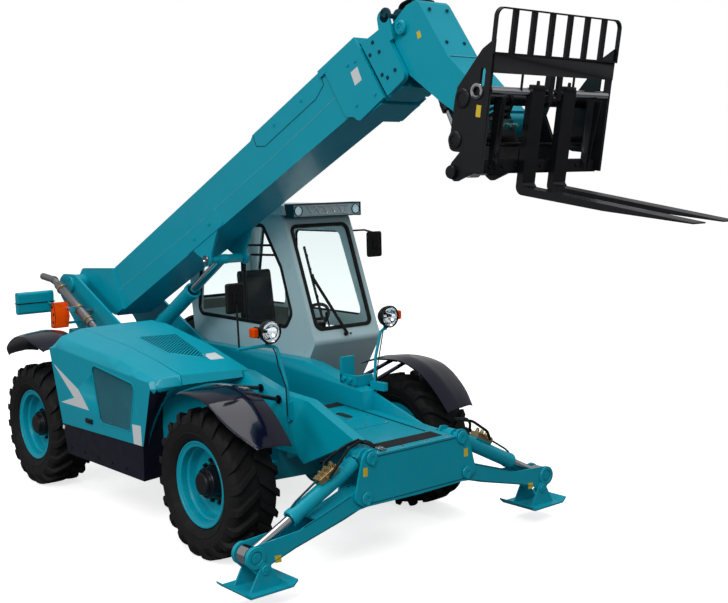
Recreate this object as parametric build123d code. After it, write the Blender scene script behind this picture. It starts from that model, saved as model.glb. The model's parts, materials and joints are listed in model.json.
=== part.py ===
"""Telehandler with a three-stage boom, fork carriage, front stabilisers and four steered wheels.

Lengths are millimetres. X points forward, Y to the machine's left, Z up.
The modelling frame has X = 0 at the front axle and Z = 0 on the ground; export() moves every
piece forward by `front_axle_x`, so that the origin lies under the middle of the whole machine.
"""
import os
from math import cos, radians, sin

from build123d import *

# ---------------------------------------------------------------- driving dimensions
front_axle_x = 233.5        # front axle from the part's origin
wheelbase = 3020.0
wheel_y = 1015.0            # middle of each tyre from the centre line
axle_z = 588.0              # axle height

pin_gap = 0.08              # radial running fit of every pin
side_gap = 6.0              # free space between faces that pass each other
seat_gap = 0.3              # seated faces of separate pieces

# tyre and rim
tyre_radius = 588.0
tyre_width = 410.0
lug_height = 40.0
lugs_per_row = 20
lug_width = 52.0
lug_angle = 42.0
bead_radius = 305.0
bead_half = 148.5           # half the tyre's width between the rim flanges
rim_width = 330.0
rim_flange_radius = 338.0
rim_wall = 14.0
hub_radius = 132.0
hub_reach = 150.0           # hub face outboard of the tyre's middle
spindle_radius = 45.0

# axles
kingpin_y = 870.0
kingpin_radius = 25.0
yoke_reach = 105.0          # inner face of each yoke arm above and below the axle line
yoke_arm = 38.0
axle_half_depth = 95.0
steer_arm_x = 235.0
steer_arm_y = 98.0
axle_seat_z = 172.0         # top of the axle's seats above its middle
seat_near, seat_far = (-484.0, -406.0), (306.0, 384.0)

# mudguards: x, z of the ridge line and of the outer edge, rear to front
front_ridge = [(-400, 1262), (-200, 1318), (54, 1340), (210, 1318), (340, 1272), (460, 1200), (580, 1095),
               (700, 972)]
front_edge = [(-345, 1226), (-170, 1288), (10, 1292), (190, 1266), (300, 1222), (405, 1147), (480, 1080),
              (560, 985)]
rear_ridge = [(-3700, 1230), (-3560, 1350), (-3350, 1450), (-3150, 1480), (-2980, 1470), (-2820, 1430),
              (-2705, 1375)]
rear_edge = [(-3640, 1190), (-3500, 1310), (-3300, 1415), (-3120, 1450), (-2980, 1440), (-2850, 1405),
             (-2705, 1345)]
fender_inner, fender_ridge, fender_outer = 800.0, 945.0, 1220.0
fender_sheet = 8.0
# mudguard tubes: x, y, z on the rail, then x, z under the ridge
front_brackets_left = [(-120, 450, 1150, -60, 1318), (10, 450, 1110, 110, 1320)]
front_brackets_right = [(-120, 490, 1230, -60, 1318), (120, 490, 1170, 200, 1308)]
rear_brackets_left = [(-3400, 414, 1260, -3400, 1412), (-2950, 414, 1260, -2950, 1448)]
rear_brackets_right = [(-3400, 490, 1260, -3400, 1412), (-2950, 490, 1260, -2950, 1448)]

# boom
pivot_x, pivot_z = -3770.0, 1850.0
pivot_pin_radius = 45.0
boom_angle = 25.2
boom_half_width = 190.0
boom_top, boom_bottom = -110.0, -555.0
boom_wall = 14.0
mid_half_width = 160.0
mid_top, mid_bottom = -140.0, -530.0
inner_half_width = 130.0
inner_top, inner_bottom = -165.0, -505.0
section_wall = 12.0
head_half_width = 150.0
head_plate = 18.0

# lift cylinder
lift_y = -40.0              # beside the centre line
lift_barrel_radius = 73.0
lift_rod_radius = 42.0
lift_eye_width = 116.0
lift_lug_wall = 22.0
lift_base = (-3382.0, 959.0)
lift_top = (-1325.0, 2195.0)
lift_barrel_length = 1790.0
lift_rod_length = 1880.0
lift_pin_radius = 34.0
lift_eye = (2359.0, -729.0)           # along and across the boom

# tilt cylinder and carriage
tilt_base = (5457.0, -259.0)          # along and across the boom
tilt_eye = (5495.0, -1403.0)
tilt_barrel_radius = 46.0
tilt_rod_radius = 26.0
tilt_barrel_length = 660.0
tilt_rod_length = 830.0
tilt_pin_radius = 26.0
carriage_pivot = (5919.0, -1277.0)
carriage_pin_radius = 35.0
carriage_lean = 9.5
carriage_half_width = 583.0
guard_half_width = carriage_half_width + 10
fork_length = 1318.0
fork_y = 150.0
fork_width = 122.0
fork_thickness = 50.0
fork_face_x = 318.0
hitch_plate_y = (165.0, 190.0)
hitch_eye = (-276.0, -345.0)

# frame
rail_near = (-490.0, -400.0)
rail_far = (300.0, 414.0)
rail_far_front = 450.0      # the far rail is wider in front of the cab
axle_arch_z = 760.0
hitch_x = -3710.0
hitch_bore_radius = 18.0
exhaust_y = -500.0
tower_y = (332.0, 357.0)
deck_z = 900.0

# stabilisers
box_front, box_rear = 1196.0, 984.0
box_plate = 20.0
leg_pivot = (510.0, 593.0)
leg_boss = (1476.0, 376.0)
leg_cylinder_top = (460.0, 880.0)
leg_pin_radius = 35.0
leg_barrel_radius = 58.0
leg_barrel_length = 740.0
leg_rod_radius = 34.0
leg_rod_length = 690.0
pad_pivot = (1410.0, 283.0)
pad_half = 215.0
pad_bottom = 137.0
pad_x = (908.0, 1265.0)
pad_pin_radius = 25.0
leg_plate = 14.0
leg_half = 80.0             # outside of the leg plates from the leg's middle
leg_mid_x = (box_front + box_rear) / 2

# engine pod: (x, z) outlines by place across the machine
pod_side = -1180.0
pod_outside = {
    -1180: [(-2276, 435), (-861, 443), (-852, 734), (-700, 1235), (-730, 1285), (-1000, 1303), (-1333, 1330),
            (-2440, 1398), (-2575, 1385), (-2409, 850)],
    -1130: [(-2290, 435), (-872, 443), (-862, 734), (-672, 1238), (-712, 1318), (-1000, 1365), (-1333, 1418),
            (-2420, 1500), (-2590, 1400), (-2340, 850)],
    -950: [(-2330, 435), (-905, 443), (-895, 1100), (-592, 1252), (-612, 1335), (-1000, 1415), (-1440, 1485),
           (-2350, 1568), (-2540, 1430), (-2325, 850)],
    -496: [(-2276, 435), (-700, 443), (-690, 1180), (-385, 1285), (-395, 1345), (-948, 1499), (-1642, 1618),
           (-1930, 1628), (-2200, 1400), (-2325, 850)]}
pod_inside = {
    -1156: [(-2240, 470), (-900, 470), (-885, 734), (-745, 1225), (-770, 1262), (-1000, 1280), (-1333, 1306),
            (-2430, 1370), (-2530, 1360), (-2370, 850)],
    -1110: [(-2250, 470), (-910, 470), (-895, 734), (-715, 1228), (-745, 1290), (-1000, 1338), (-1333, 1390),
            (-2410, 1468), (-2540, 1375), (-2305, 850)],
    -950: [(-2295, 470), (-940, 470), (-925, 1115), (-680, 1238), (-690, 1270), (-1000, 1360), (-1440, 1430),
           (-2350, 1520), (-2490, 1420), (-2295, 850)],
    -520: [(-2245, 470), (-735, 470), (-722, 1195), (-470, 1270), (-480, 1290), (-948, 1445), (-1642, 1565),
           (-1920, 1575), (-2150, 1395), (-2293, 850)]}
hood_room = {
    -947: [(-540, 1236), (-630, 1250), (-640, 1305), (-1000, 1394), (-1440, 1464), (-2345, 1547), (-2345, 1700),
           (-540, 1700)],
    -440: [(-300, 1276), (-402, 1276), (-415, 1322), (-948, 1478), (-1642, 1598), (-1940, 1608), (-1940, 1700),
           (-300, 1700)]}
hood_opening = [(-2150, -905), (-780, -905), (-600, -560), (-1850, -560)]
hood_sheet = {
    -943: [(-598, 1336), (-1000, 1415), (-1440, 1485), (-2341, 1567), (-2341, 1555), (-1440, 1473), (-1000, 1403),
           (-598, 1324)],
    -452: [(-352, 1353), (-948, 1501), (-1642, 1620), (-1927, 1630), (-1927, 1618), (-1642, 1608), (-948, 1489),
           (-352, 1341)]}
hood_lip = {
    -943: [(-598, 1336), (-580, 1256), (-595, 1254), (-614, 1326)],
    -500: [(-376, 1351), (-362, 1290), (-377, 1288), (-392, 1341)]}
hood_hinge = (-470.0, 1450.0)
hood_lugs = [(-1560, 1596), (-1000, 1500)]      # x of each hinge lug, and where it meets the hood
grille_outline = [(-1595, 826), (-1058, 830), (-955, 1243), (-1735, 1330)]
grille_slant = 36.0
grille_pitch = 34.0
vent_outline = [(-1600, -800), (-1050, -800), (-715, -600), (-1370, -520)]
vent_middle = (-1180.0, -680.0)
vent_pitch = 34.0
vent_turn = 30.0
engine_box = (-2150, -1150, -1040, -560, 470.3, 1130)

# cab: (x, z) outlines
cab_near, cab_far = 420.0, 1190.0
cab_wall = 45.0
cab_floor_z = 950.0
cab_profile = [(-900, 950), (-745, 1180), (-575, 1440), (-616, 1527), (-996, 2528), (-1040, 2575), (-2440, 2575),
               (-2640, 2500), (-2660, 1777), (-2600, 1400), (-2400, 950)]
side_window = [(-2500, 1570), (-1010, 1555), (-915, 1680), (-1060, 2100), (-1330, 2480), (-2380, 2480)]
side_window_rounds = {0: 60, 1: 100, 2: 60, 3: 60, 4: 120, 5: 100}
quarter_window = [(-2580, 1620), (-2010, 1620), (-2010, 2480), (-2400, 2480)]
door_profile = [(-1930, 990), (-930, 1000), (-800, 1200), (-660, 1430), (-700, 1560), (-1060, 2480), (-1930, 2480)]
door_hinge = (-1945.0, 1205.0)
door_hinge_z = (1150, 2250)
door_window = [(-1860, 1610), (-790, 1600), (-1120, 2400), (-1860, 2400)]
door_low_window = [(-1560, 1080), (-980, 1080), (-850, 1280), (-780, 1480), (-1560, 1480)]
roof_profile = [(-980, 2575.3), (-1000, 2665), (-2380, 2665), (-2600, 2600), (-2640, 2575.3)]
tank_profile = [(-2280, 430), (-760, 430), (-760, 700), (-900, 923.7), (-2280, 923.7)]

# boom head: (along, across) outline of its side plates
head_front = [(5559, -142), (5656, -160), (5675, -196), (5759, -660), (5848, -862), (5985, -1200)]
head_outline = [(5318, -187), (5559, -142), (5656, -160), (5675, -196), (5759, -660), (5848, -862), (5985, -1200),
                (5990, -1340), (5870, -1345), (5668, -1055), (5560, -900), (5497, -792), (5374, -588)]


# ---------------------------------------------------------------- shape helpers
def outline(points, rounds=None):
    """Flat outline through `points`; `rounds` gives a fillet radius by corner number."""
    face = make_face(Polyline(*points, close=True))
    for number, radius in (rounds or {}).items():
        corner = Vector(*points[number])
        vertex = min(face.vertices(), key=lambda v: (Vector(*v) - corner).length)
        face = fillet(vertex, radius)
    return face


def strip(points, thickness):
    """Outline of a bent sheet: the path `points` and the same path moved to its right."""
    path = [Vector(*point) for point in points]
    ways = [(b - a).normalized() for a, b in zip(path, path[1:])]
    inner = []
    for n, point in enumerate(path):
        before, after = ways[max(n - 1, 0)], ways[min(n, len(ways) - 1)]
        middle = (before + after).normalized()
        inner.append(point + Vector(middle.Y, -middle.X) * (thickness / middle.dot(before)))
    return points + [(point.X, point.Y) for point in reversed(inner)]


def side_plate(points, y_low, y_high, rounds=None):
    """Outline of (x, z) points, as thick as y_low to y_high."""
    plane = Plane((0, y_high, 0), x_dir=(1, 0, 0), z_dir=(0, -1, 0))
    return extrude(plane * outline(points, rounds), y_high - y_low)


def cross_plate(points, x_low, x_high, rounds=None):
    """Outline of (y, z) points, as thick as x_low to x_high."""
    plane = Plane((x_low, 0, 0), x_dir=(0, 1, 0), z_dir=(1, 0, 0))
    return extrude(plane * outline(points, rounds), x_high - x_low)


def flat_plate(points, z_low, z_high, rounds=None):
    """Outline of (x, y) points, as thick as z_low to z_high."""
    return extrude(Plane.XY.offset(z_low) * outline(points, rounds), z_high - z_low)


def block(x_low, x_high, y_low, y_high, z_low, z_high):
    """Box between six faces."""
    middle = Pos((x_low + x_high) / 2, (y_low + y_high) / 2, (z_low + z_high) / 2)
    return middle * Box(x_high - x_low, y_high - y_low, z_high - z_low)


def rod(start, end, radius):
    """Round bar from one point to another."""
    start, end = Vector(*start), Vector(*end)
    return Solid.make_cylinder(radius, (end - start).length, Plane(start, z_dir=end - start))


def pin_y(x, z, y_low, y_high, radius):
    """Round bar across the machine."""
    return rod((x, y_low, z), (x, y_high, z), radius)


def pin_x(y, z, x_low, x_high, radius):
    """Round bar along the machine."""
    return rod((x_low, y, z), (x_high, y, z), radius)


def both_sides(shape):
    """The shape and its mirror image across the centre line."""
    return shape + mirror(shape, about=Plane.XZ)


def bent_tube(points, radius, bend):
    """Round tube along straight runs joined by bends."""
    path = FilletPolyline(*points, radius=bend)
    start = Plane(path @ 0, z_dir=path % 0)
    return sweep(start * Circle(radius), path=path)


def boom_point(along, across):
    """World (x, z) of a point in the boom's own frame."""
    a = radians(boom_angle)
    return (pivot_x + along * cos(a) - across * sin(a), pivot_z + along * sin(a) + across * cos(a))


boom_place = Pos(pivot_x, 0, pivot_z) * Rot(0, -boom_angle, 0)
carriage_place = (Pos(boom_point(*carriage_pivot)[0], 0, boom_point(*carriage_pivot)[1])
                  * Rot(0, carriage_lean, 0))


def aimed(start, end):
    """Location at (x, z) `start` whose +X runs towards `end`, in the XZ plane."""
    direction = Vector(end[0] - start[0], 0, end[1] - start[1])
    return Location(Plane((start[0], 0, start[1]), x_dir=direction, z_dir=direction.cross(Vector(0, 1, 0))))


leg_cylinder_place = Location(Plane(
    (leg_mid_x, leg_cylinder_top[0], leg_cylinder_top[1]),
    x_dir=(0, leg_boss[0] - leg_cylinder_top[0], leg_boss[1] - leg_cylinder_top[1]),
    z_dir=(0, leg_cylinder_top[1] - leg_boss[1], leg_boss[0] - leg_cylinder_top[0])))


# ---------------------------------------------------------------- wheels
def make_tyre():
    """Tyre about the Y axis, its outer side towards +Y, with two rows of slanting lugs."""
    half = tyre_width / 2
    tread = tyre_radius - lug_height
    over_flange = rim_flange_radius + 4
    profile = [(bead_radius + seat_gap, -bead_half), (over_flange, -bead_half), (over_flange + 10, -172),
               (430, -half), (505, -half + 8), (tread, -half + 45), (tread, half - 45), (505, half - 8),
               (430, half), (over_flange + 10, 172), (over_flange, bead_half), (bead_radius + seat_gap, bead_half)]
    plane = Plane.XY
    carcass = revolve(plane * make_face(Polyline(*profile, close=True)), Axis.Y)
    crown = [(tread - 12, -half + 12), (tyre_radius - 22, -half + 12), (tyre_radius, -half + 40),
             (tyre_radius, 12), (tread - 12, 12)]
    band = revolve(plane * make_face(Polyline(*crown, close=True)), Axis.Y)
    bar = Pos(tyre_radius - 20, -half / 2, 0) * Rot(lug_angle, 0, 0) * Box(90, half * 1.75, lug_width)
    lug = band & bar
    pitch = 360 / lugs_per_row
    row = [Rot(0, pitch * (n + 0.25), 0) * lug for n in range(lugs_per_row)]
    other = [mirror(Rot(0, pitch * (n + 0.75), 0) * lug, about=Plane.XZ) for n in range(lugs_per_row)]
    return carcass.fuse(*row, *other)


def make_rim():
    """Deep-dished rim with its wheel disc and hub, outer side towards +Y."""
    half = rim_width / 2
    bore = bead_radius - rim_wall
    steps = [  # radius, y: plain inner side, stepped dish on the outer side
        (bead_radius, -bead_half - seat_gap), (rim_flange_radius, -bead_half - seat_gap),
        (rim_flange_radius, -half), (bore, -half), (bore, -30), (hub_radius - 2, -14), (hub_radius - 2, 10),
        (258, 10), (274, 44), (278, 92), (bore, 98), (bore, 152), (320, 156), (324, half),
        (rim_flange_radius, half), (rim_flange_radius, bead_half + seat_gap), (bead_radius, bead_half + seat_gap)]
    shell = revolve(make_face(Polyline(*steps, close=True)), Axis.Y)
    hub_steps = [(spindle_radius + pin_gap, -62), (hub_radius + 22, -62), (hub_radius + 22, -34), (hub_radius, -30),
                 (hub_radius, hub_reach - 40), (hub_radius - 34, hub_reach - 34), (hub_radius - 38, hub_reach),
                 (0, hub_reach), (0, 62), (spindle_radius + pin_gap, 62)]
    hub = revolve(make_face(Polyline(*hub_steps, close=True)), Axis.Y)
    return shell + hub


# ---------------------------------------------------------------- axles and knuckles
def make_axle():
    """Beam axle about its own middle, with a yoke at each end round the kingpin."""
    beam_end = kingpin_y - 118
    d = axle_half_depth
    half = cross_plate([(0, -d), (beam_end, -62), (beam_end, 62), (0, d)], -88, 88)
    web = block(-60, 60, beam_end - 30, beam_end, -yoke_reach - yoke_arm, yoke_reach + yoke_arm)
    arm = flat_plate([(-58, beam_end - 30), (58, beam_end - 30), (58, kingpin_y + 55), (-58, kingpin_y + 55)],
                     yoke_reach, yoke_reach + yoke_arm, {2: 54, 3: 54})
    bore = rod((0, kingpin_y, -200), (0, kingpin_y, 200), kingpin_radius + pin_gap)
    side = half + web + arm + mirror(arm, about=Plane.XY) - bore
    bowl = Rot(90, 0, 0) * Cylinder(195, 150)
    cover = Pos(95, 0, 0) * Rot(0, 90, 0) * Cone(150, 90, 130)
    seats = (block(-90, 90, *seat_near, 60, axle_seat_z - seat_gap)
             + block(-90, 90, *seat_far, 60, axle_seat_z - seat_gap))
    return both_sides(side) + bowl + cover + seats


def make_knuckle():
    """Left knuckle about the axle's middle: kingpins, hub flange, spindle and steering arm."""
    reach = yoke_reach - side_gap
    body = rod((0, kingpin_y, -reach), (0, kingpin_y, reach), 62)
    pins = rod((0, kingpin_y, -yoke_reach - yoke_arm), (0, kingpin_y, yoke_reach + yoke_arm), kingpin_radius)
    flange = rod((0, kingpin_y + 68, 0), (0, wheel_y - 62 - seat_gap, 0), 98)
    neck = rod((0, kingpin_y + 30, 0), (0, kingpin_y + 70, 0), 70)
    spindle = rod((0, kingpin_y + 60, 0), (0, wheel_y + 58, 0), spindle_radius)
    tip_x, tip_y = -steer_arm_x, kingpin_y - steer_arm_y
    arm = flat_plate([(0, kingpin_y - 34), (0, kingpin_y + 30), (tip_x - 24, kingpin_y + 30),
                      (tip_x - 24, tip_y - 24), (tip_x + 24, tip_y - 24), (tip_x + 24, kingpin_y - 34)], -26, 26)
    return body + pins + flange + neck + spindle + arm


# ---------------------------------------------------------------- fenders
def sheet_band(line_a, y_a, line_b, y_b):
    """Sheet spanning two (x, z) lines that lie at two places across the machine."""
    faces = []
    for line, y in ((line_a, y_a), (line_b, y_b)):
        under = [(x, z - fender_sheet) for x, z in reversed(line)]
        faces.append(Plane((0, y, 0), x_dir=(1, 0, 0), z_dir=(0, -1, 0)) * outline(line + under))
    return loft(faces, ruled=True)


def make_fender(ridge, edge, brackets):
    """Left mudguard: sheets from its ridge to both edges, and its tubes to the frame."""
    inner_line = [(x, z - 20) for x, z in ridge]
    fender = (sheet_band(ridge, fender_ridge, edge, fender_outer)
              + sheet_band(inner_line, fender_inner, ridge, fender_ridge))
    for x, y, z, x_end, z_end in brackets:
        fender += pin_y(x, z, y + seat_gap, y + 12, 34)
        fender += rod((x, y + 10, z), (x_end, fender_ridge, z_end), 17)
    return fender


def make_front_fenders():
    """Both front mudguards, fixed to the frame rails above the steered wheels."""
    return (make_fender(front_ridge, front_edge, front_brackets_left)
            + mirror(make_fender(front_ridge, front_edge, front_brackets_right), about=Plane.XZ))


def make_rear_fenders():
    """Both rear mudguards."""
    return (make_fender(rear_ridge, rear_edge, rear_brackets_left)
            + mirror(make_fender(rear_ridge, rear_edge, rear_brackets_right), about=Plane.XZ))


# ---------------------------------------------------------------- frame
def make_frame():
    """Welded main frame: two rails, the rear tower for the boom, cross members, deck and tow hitch."""
    low = [(-3750, 1010), (-3400, axle_arch_z), (-2700, axle_arch_z), (-2560, 640), (-480, 640),
           (-330, axle_arch_z), (330, axle_arch_z), (420, 700)]
    near = side_plate(low + [(1060, 985), (495, 1205), (140, 1225), (-330, 1335), (-2300, 1335), (-3600, 1405)],
                      *rail_near)
    far = side_plate(low[:6] + [(188, axle_arch_z), (188, 1124), (-588, 1304), (-2300, 1304), (-3600, 1405)],
                     *rail_far)
    wide = side_plate([(-530, 780), (188, 780), (188, 1124), (-530, 1290)], rail_far[0], rail_far_front)
    far_nose = side_plate([(150, axle_arch_z), (420, 700), (966, 880), (760, 930), (150, 1118)],
                          rail_far_front - 22, rail_far_front)
    frame = near + far + wide + far_nose
    tower = [(-3680, 1400), (-4050, 1712), (-4058, 1890), (-3960, 1950), (-3700, 1955), (-2780, 1525),
             (-2330, 1320), (-2300, 1200), (-3600, 1200)]
    plate = side_plate(tower, *tower_y, {2: 60, 3: 60, 4: 80})
    foot = block(-3600, -2400, tower_y[0], 410, 1240, 1300)
    boss = pin_y(pivot_x, pivot_z, tower_y[1], tower_y[1] + 14, 78)
    frame += both_sides(plate + foot + boss)
    frame += pin_y(pivot_x, pivot_z, -tower_y[1] - 24, tower_y[1] + 24, pivot_pin_radius)
    y_low, y_high = rail_near[1] - 5, rail_far[0] + 5
    for x, z_low, z_high in ((-3425, axle_arch_z, 870), (-2640, 730, 900), (-2000, 640, 900), (-600, 640, 960),
                             (440, 700, deck_z)):
        frame += block(x, x + 30, y_low, y_high, z_low, z_high)
    frame += block(-2500, -600, y_low, y_high, 640, 664)
    frame += side_plate([(-3745, 1010), (-3640, 900), (-3600, 900), (-3600, 1385), (-3650, 1395)], y_low, y_high)
    reach = lift_eye_width / 2 + side_gap
    for y in (lift_y - reach - lift_lug_wall, lift_y + reach):
        frame += side_plate([(-3610, 1120), (-3500, 1080), (-3400, 1032), (-3338, 1005), (-3310, 960), (-3330, 900),
                             (-3400, 850), (-3610, 940)], y, y + lift_lug_wall, {4: 30, 5: 30})
    frame += pin_y(*lift_base, lift_y - reach - lift_lug_wall, lift_y + reach + lift_lug_wall, lift_pin_radius)
    deck = [(-160, 985), (965, deck_z + 14), (965, deck_z), (-160, 971)]
    deck_front = [(960, deck_z + 14), (box_front, deck_z), (box_front, deck_z - 14), (960, deck_z)]
    frame += side_plate(deck, rail_near[1] - 5, rail_far_front - 5) + side_plate(deck_front, -398, 398)
    for x in (-2330, -1010):
        frame += block(x, x + 90, rail_far[1] - 4, 1150, cab_floor_z - 26, cab_floor_z - seat_gap)
    y, z = hood_hinge
    for x, _ in hood_lugs:
        frame += cross_plate([(y - 18, 1325), (y + 18, 1325), (y + 14, z + 14), (y - 14, z + 14)], x + 12 + seat_gap,
                             x + 26, {2: 12, 3: 12})
        frame += pin_x(y, z, x - 3, x + 26, 8)
    keel = side_plate([(350, 660), (350, 900), (box_rear - seat_gap, deck_z - 2), (box_rear - seat_gap, 560)], 210, 234)
    frame += both_sides(keel) + block(330, 370, y_low, y_high, axle_arch_z, 930)
    return frame


def make_hitch():
    """Rear tow jaw with a vertical bore through its two plates."""
    jaw = flat_plate([(hitch_x - 80, -95), (-3470, -95), (-3470, 95), (hitch_x - 80, 95)], 0, 30, {0: 60, 3: 60})
    body = Pos(0, 0, 640) * jaw + Pos(0, 0, 520) * jaw
    body += block(-3560, -3530, -80, 80, 530, 660) + block(-3500, -3425 - seat_gap, -80, 80, 520, 860)
    return body - rod((hitch_x, 0, 400), (hitch_x, 0, 700), hitch_bore_radius)


def make_front_box():
    """Transverse box under the deck's front edge, with ears for each stabiliser."""
    top = deck_z - 14 - seat_gap
    side = [(0, 520), (530, 530), (620, 586), (540, 885), (500, 938), (430, 945), (404, top), (0, top)]
    plate = side + [(-y, z) for y, z in reversed(side[1:-1])]
    rounds = {2: 50, 4: 30, 5: 20, 9: 20, 10: 30, 12: 50}
    box = (cross_plate(plate, box_front - box_plate, box_front, rounds)
           + cross_plate(plate, box_rear, box_rear + box_plate, rounds))
    box += block(box_rear + 5, box_front - 5, -390, 390, 526, 544)
    box += both_sides(block(box_rear + 5, box_front - 5, 330, 346, 530, top))
    for side in (1, -1):
        for y, z in (leg_pivot, leg_cylinder_top):
            box += pin_x(side * y, z, box_rear - 14, box_front + 12, leg_pin_radius)
    return box


# ---------------------------------------------------------------- engine pod
def sections(table, keys):
    """Solid through the (x, z) outlines of a table, one at each place across the machine."""
    faces = []
    for y in keys:
        plane = Plane((0, y, 0), x_dir=(1, 0, 0), z_dir=(0, -1, 0))
        faces.append(plane * outline(table[y]))
    return loft(faces, ruled=True)


def make_pod():
    """Fixed engine cover: side with louvres, rounded shoulder and ends, open under the hood."""
    body = sections(pod_outside, sorted(pod_outside))
    body -= sections(pod_inside, sorted(pod_inside))
    body -= sections(hood_room, sorted(hood_room))
    body -= flat_plate(hood_opening, 1250, 1800)
    window = outline(grille_outline, {0: 50, 1: 70, 2: 60, 3: 60})
    body -= side_extrude(window, pod_side - 10, pod_side + 60)
    for x in (-2100, -1000):
        body += block(x, x + 90, -500, rail_near[0] - seat_gap, 720, 1080)
    inside = side_extrude(window, pod_side + 4, pod_side + 22)
    pane = side_extrude(offset(window, 6), pod_side + 4, pod_side + 22)
    slat = Rot(0, grille_slant, 0) * Rot(28, 0, 0) * Box(1400, 26, 5)
    bars = [Pos(-1340, pod_side + 13, 1080 + grille_pitch * n) * slat for n in range(-18, 19)]
    return body + [pane & bar for bar in bars if (inside & bar).volume > 4000]


def make_hood():
    """Opening hood over the engine with its slotted vent and front lip."""
    lid = sections(hood_sheet, sorted(hood_sheet))
    lip = sections(hood_lip, sorted(hood_lip))
    vent = flat_plate(vent_outline, 1300, 1800)
    slots = [vent & (Pos(vent_middle[0] + vent_pitch * n, vent_middle[1], 1500) * Rot(0, 0, vent_turn)
                     * Box(vent_pitch * 0.5, 700, 400)) for n in range(-16, 17)]
    lid = lid - [slot for slot in slots if slot.volume > 0] + lip
    y, z = hood_hinge
    for x, lid_z in hood_lugs:
        lid += cross_plate([(y - 16, z - 16), (y + 16, z - 16), (y + 16, lid_z), (y - 16, lid_z)], x, x + 12,
                           {0: 12, 1: 12})
        lid -= pin_x(y, z, x - 10, x + 20, 8 + pin_gap)
    return lid


def make_engine():
    """Engine as one plain block at its real place and size."""
    return block(*engine_box)


# ---------------------------------------------------------------- cab
def moved_in(points, distance):
    """Flat outline moved inwards."""
    return offset(outline(points), -distance, kind=Kind.INTERSECTION)


def side_extrude(face, y_low, y_high):
    """Flat (x, z) outline, as thick as y_low to y_high."""
    return extrude(Plane((0, y_high, 0), x_dir=(1, 0, 0), z_dir=(0, -1, 0)) * face, y_high - y_low)


def screen_plane(out):
    """Plane of the raked windscreen moved outwards, X across and Y up the glass."""
    low, high = Vector(-616, 0, 1527), Vector(-996, 0, 2528)
    up = (high - low).normalized()
    normal = Vector(0, 1, 0).cross(up)
    return Plane(low + normal * out, x_dir=(0, 1, 0), z_dir=normal)


def screen_outline(inset):
    """Windscreen outline in its own plane."""
    i = inset
    return outline([(cab_near + 60 + i, 30 + i), (cab_far - 75 - i, 30 + i), (cab_far - 60 - i, 1010 - i),
                    (cab_near + 60 + i, 1010 - i)], {0: 60, 1: 60, 2: 60, 3: 60})


def make_cab():
    """Cab shell: side, front, rear and floor panels in one hollow body with window and door openings."""
    body = side_plate(cab_profile, cab_near, cab_far, {1: 60, 2: 60, 9: 60})
    body -= side_extrude(moved_in(cab_profile, cab_wall), cab_near + cab_wall, cab_far - cab_wall)
    body -= side_plate(side_window, cab_near - 10, cab_near + cab_wall + 10, side_window_rounds)
    body -= side_plate(door_profile, cab_far - cab_wall - 10, cab_far + 10)
    body -= side_plate(quarter_window, cab_far - cab_wall - 10, cab_far + 10, {0: 60, 1: 60, 2: 60, 3: 60})
    body -= extrude(screen_plane(-120) * screen_outline(0), 240)
    body -= block(-2760, -2560, cab_near + 110, cab_far - 110, 1700, 2450)
    x, y = door_hinge
    for z in door_hinge_z:
        body += rod((x, y, z), (x, y, z + 40), 14) + block(x - 40, x, cab_far - 2, y + 4, z, z + 40)
        body -= rod((x, y, z - 1), (x, y, z + 41), 6 + pin_gap)
    return body


def make_roof():
    """Roof cap with its visor for the work lamps."""
    cap = side_plate(roof_profile, cab_near - 10, cab_far + 10, {1: 20, 3: 60})
    visor = side_plate([(-1000, 2545), (-880, 2560), (-885, 2672), (-1010, 2672)], cab_near + 20, cab_far + 40)
    return cap + visor


def make_door():
    """Cab door on the left side with its upper and lower window openings."""
    slab = side_extrude(moved_in(door_profile, side_gap), cab_far - cab_wall + 4, cab_far + 8)
    slab -= side_plate(door_window, cab_far - 100, cab_far + 50, {0: 60, 1: 60, 2: 90, 3: 60})
    slab -= side_plate(door_low_window, cab_far - 100, cab_far + 50, {0: 50, 1: 50, 2: 50, 3: 50, 4: 50})
    slab += block(-1880, -1760, cab_far + 8, cab_far + 34, 1530, 1556)
    x, y = door_hinge
    for z in door_hinge_z:
        slab += rod((x, y, z + 40 + seat_gap), (x, y, z + 80), 14) + rod((x, y, z), (x, y, z + 80), 6)
        slab += block(x, x + 50, cab_far + seat_gap, y + 4, z + 40 + seat_gap, z + 80)
    return slab


def make_door_glass():
    """Two panes seated in the door."""
    y = cab_far - 18
    upper = side_plate(door_window, y - 3, y + 3, {0: 60, 1: 60, 2: 90, 3: 60})
    lower = side_plate(door_low_window, y - 3, y + 3, {0: 50, 1: 50, 2: 50, 3: 50, 4: 50})
    return upper + lower


def make_glass():
    """Fixed panes: right side, windscreen, rear and left quarter, seated inside the cab wall."""
    y = cab_near + cab_wall / 2
    side = side_plate(side_window, y - 3, y + 3, side_window_rounds)
    screen = extrude(screen_plane(-26) * screen_outline(0), 6)
    rear = block(-2640, -2634, cab_near + 110, cab_far - 110, 1700, 2450)
    quarter = side_plate(quarter_window, cab_far - 26, cab_far - 20, {0: 60, 1: 60, 2: 60, 3: 60})
    return side + screen + rear + quarter


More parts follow.
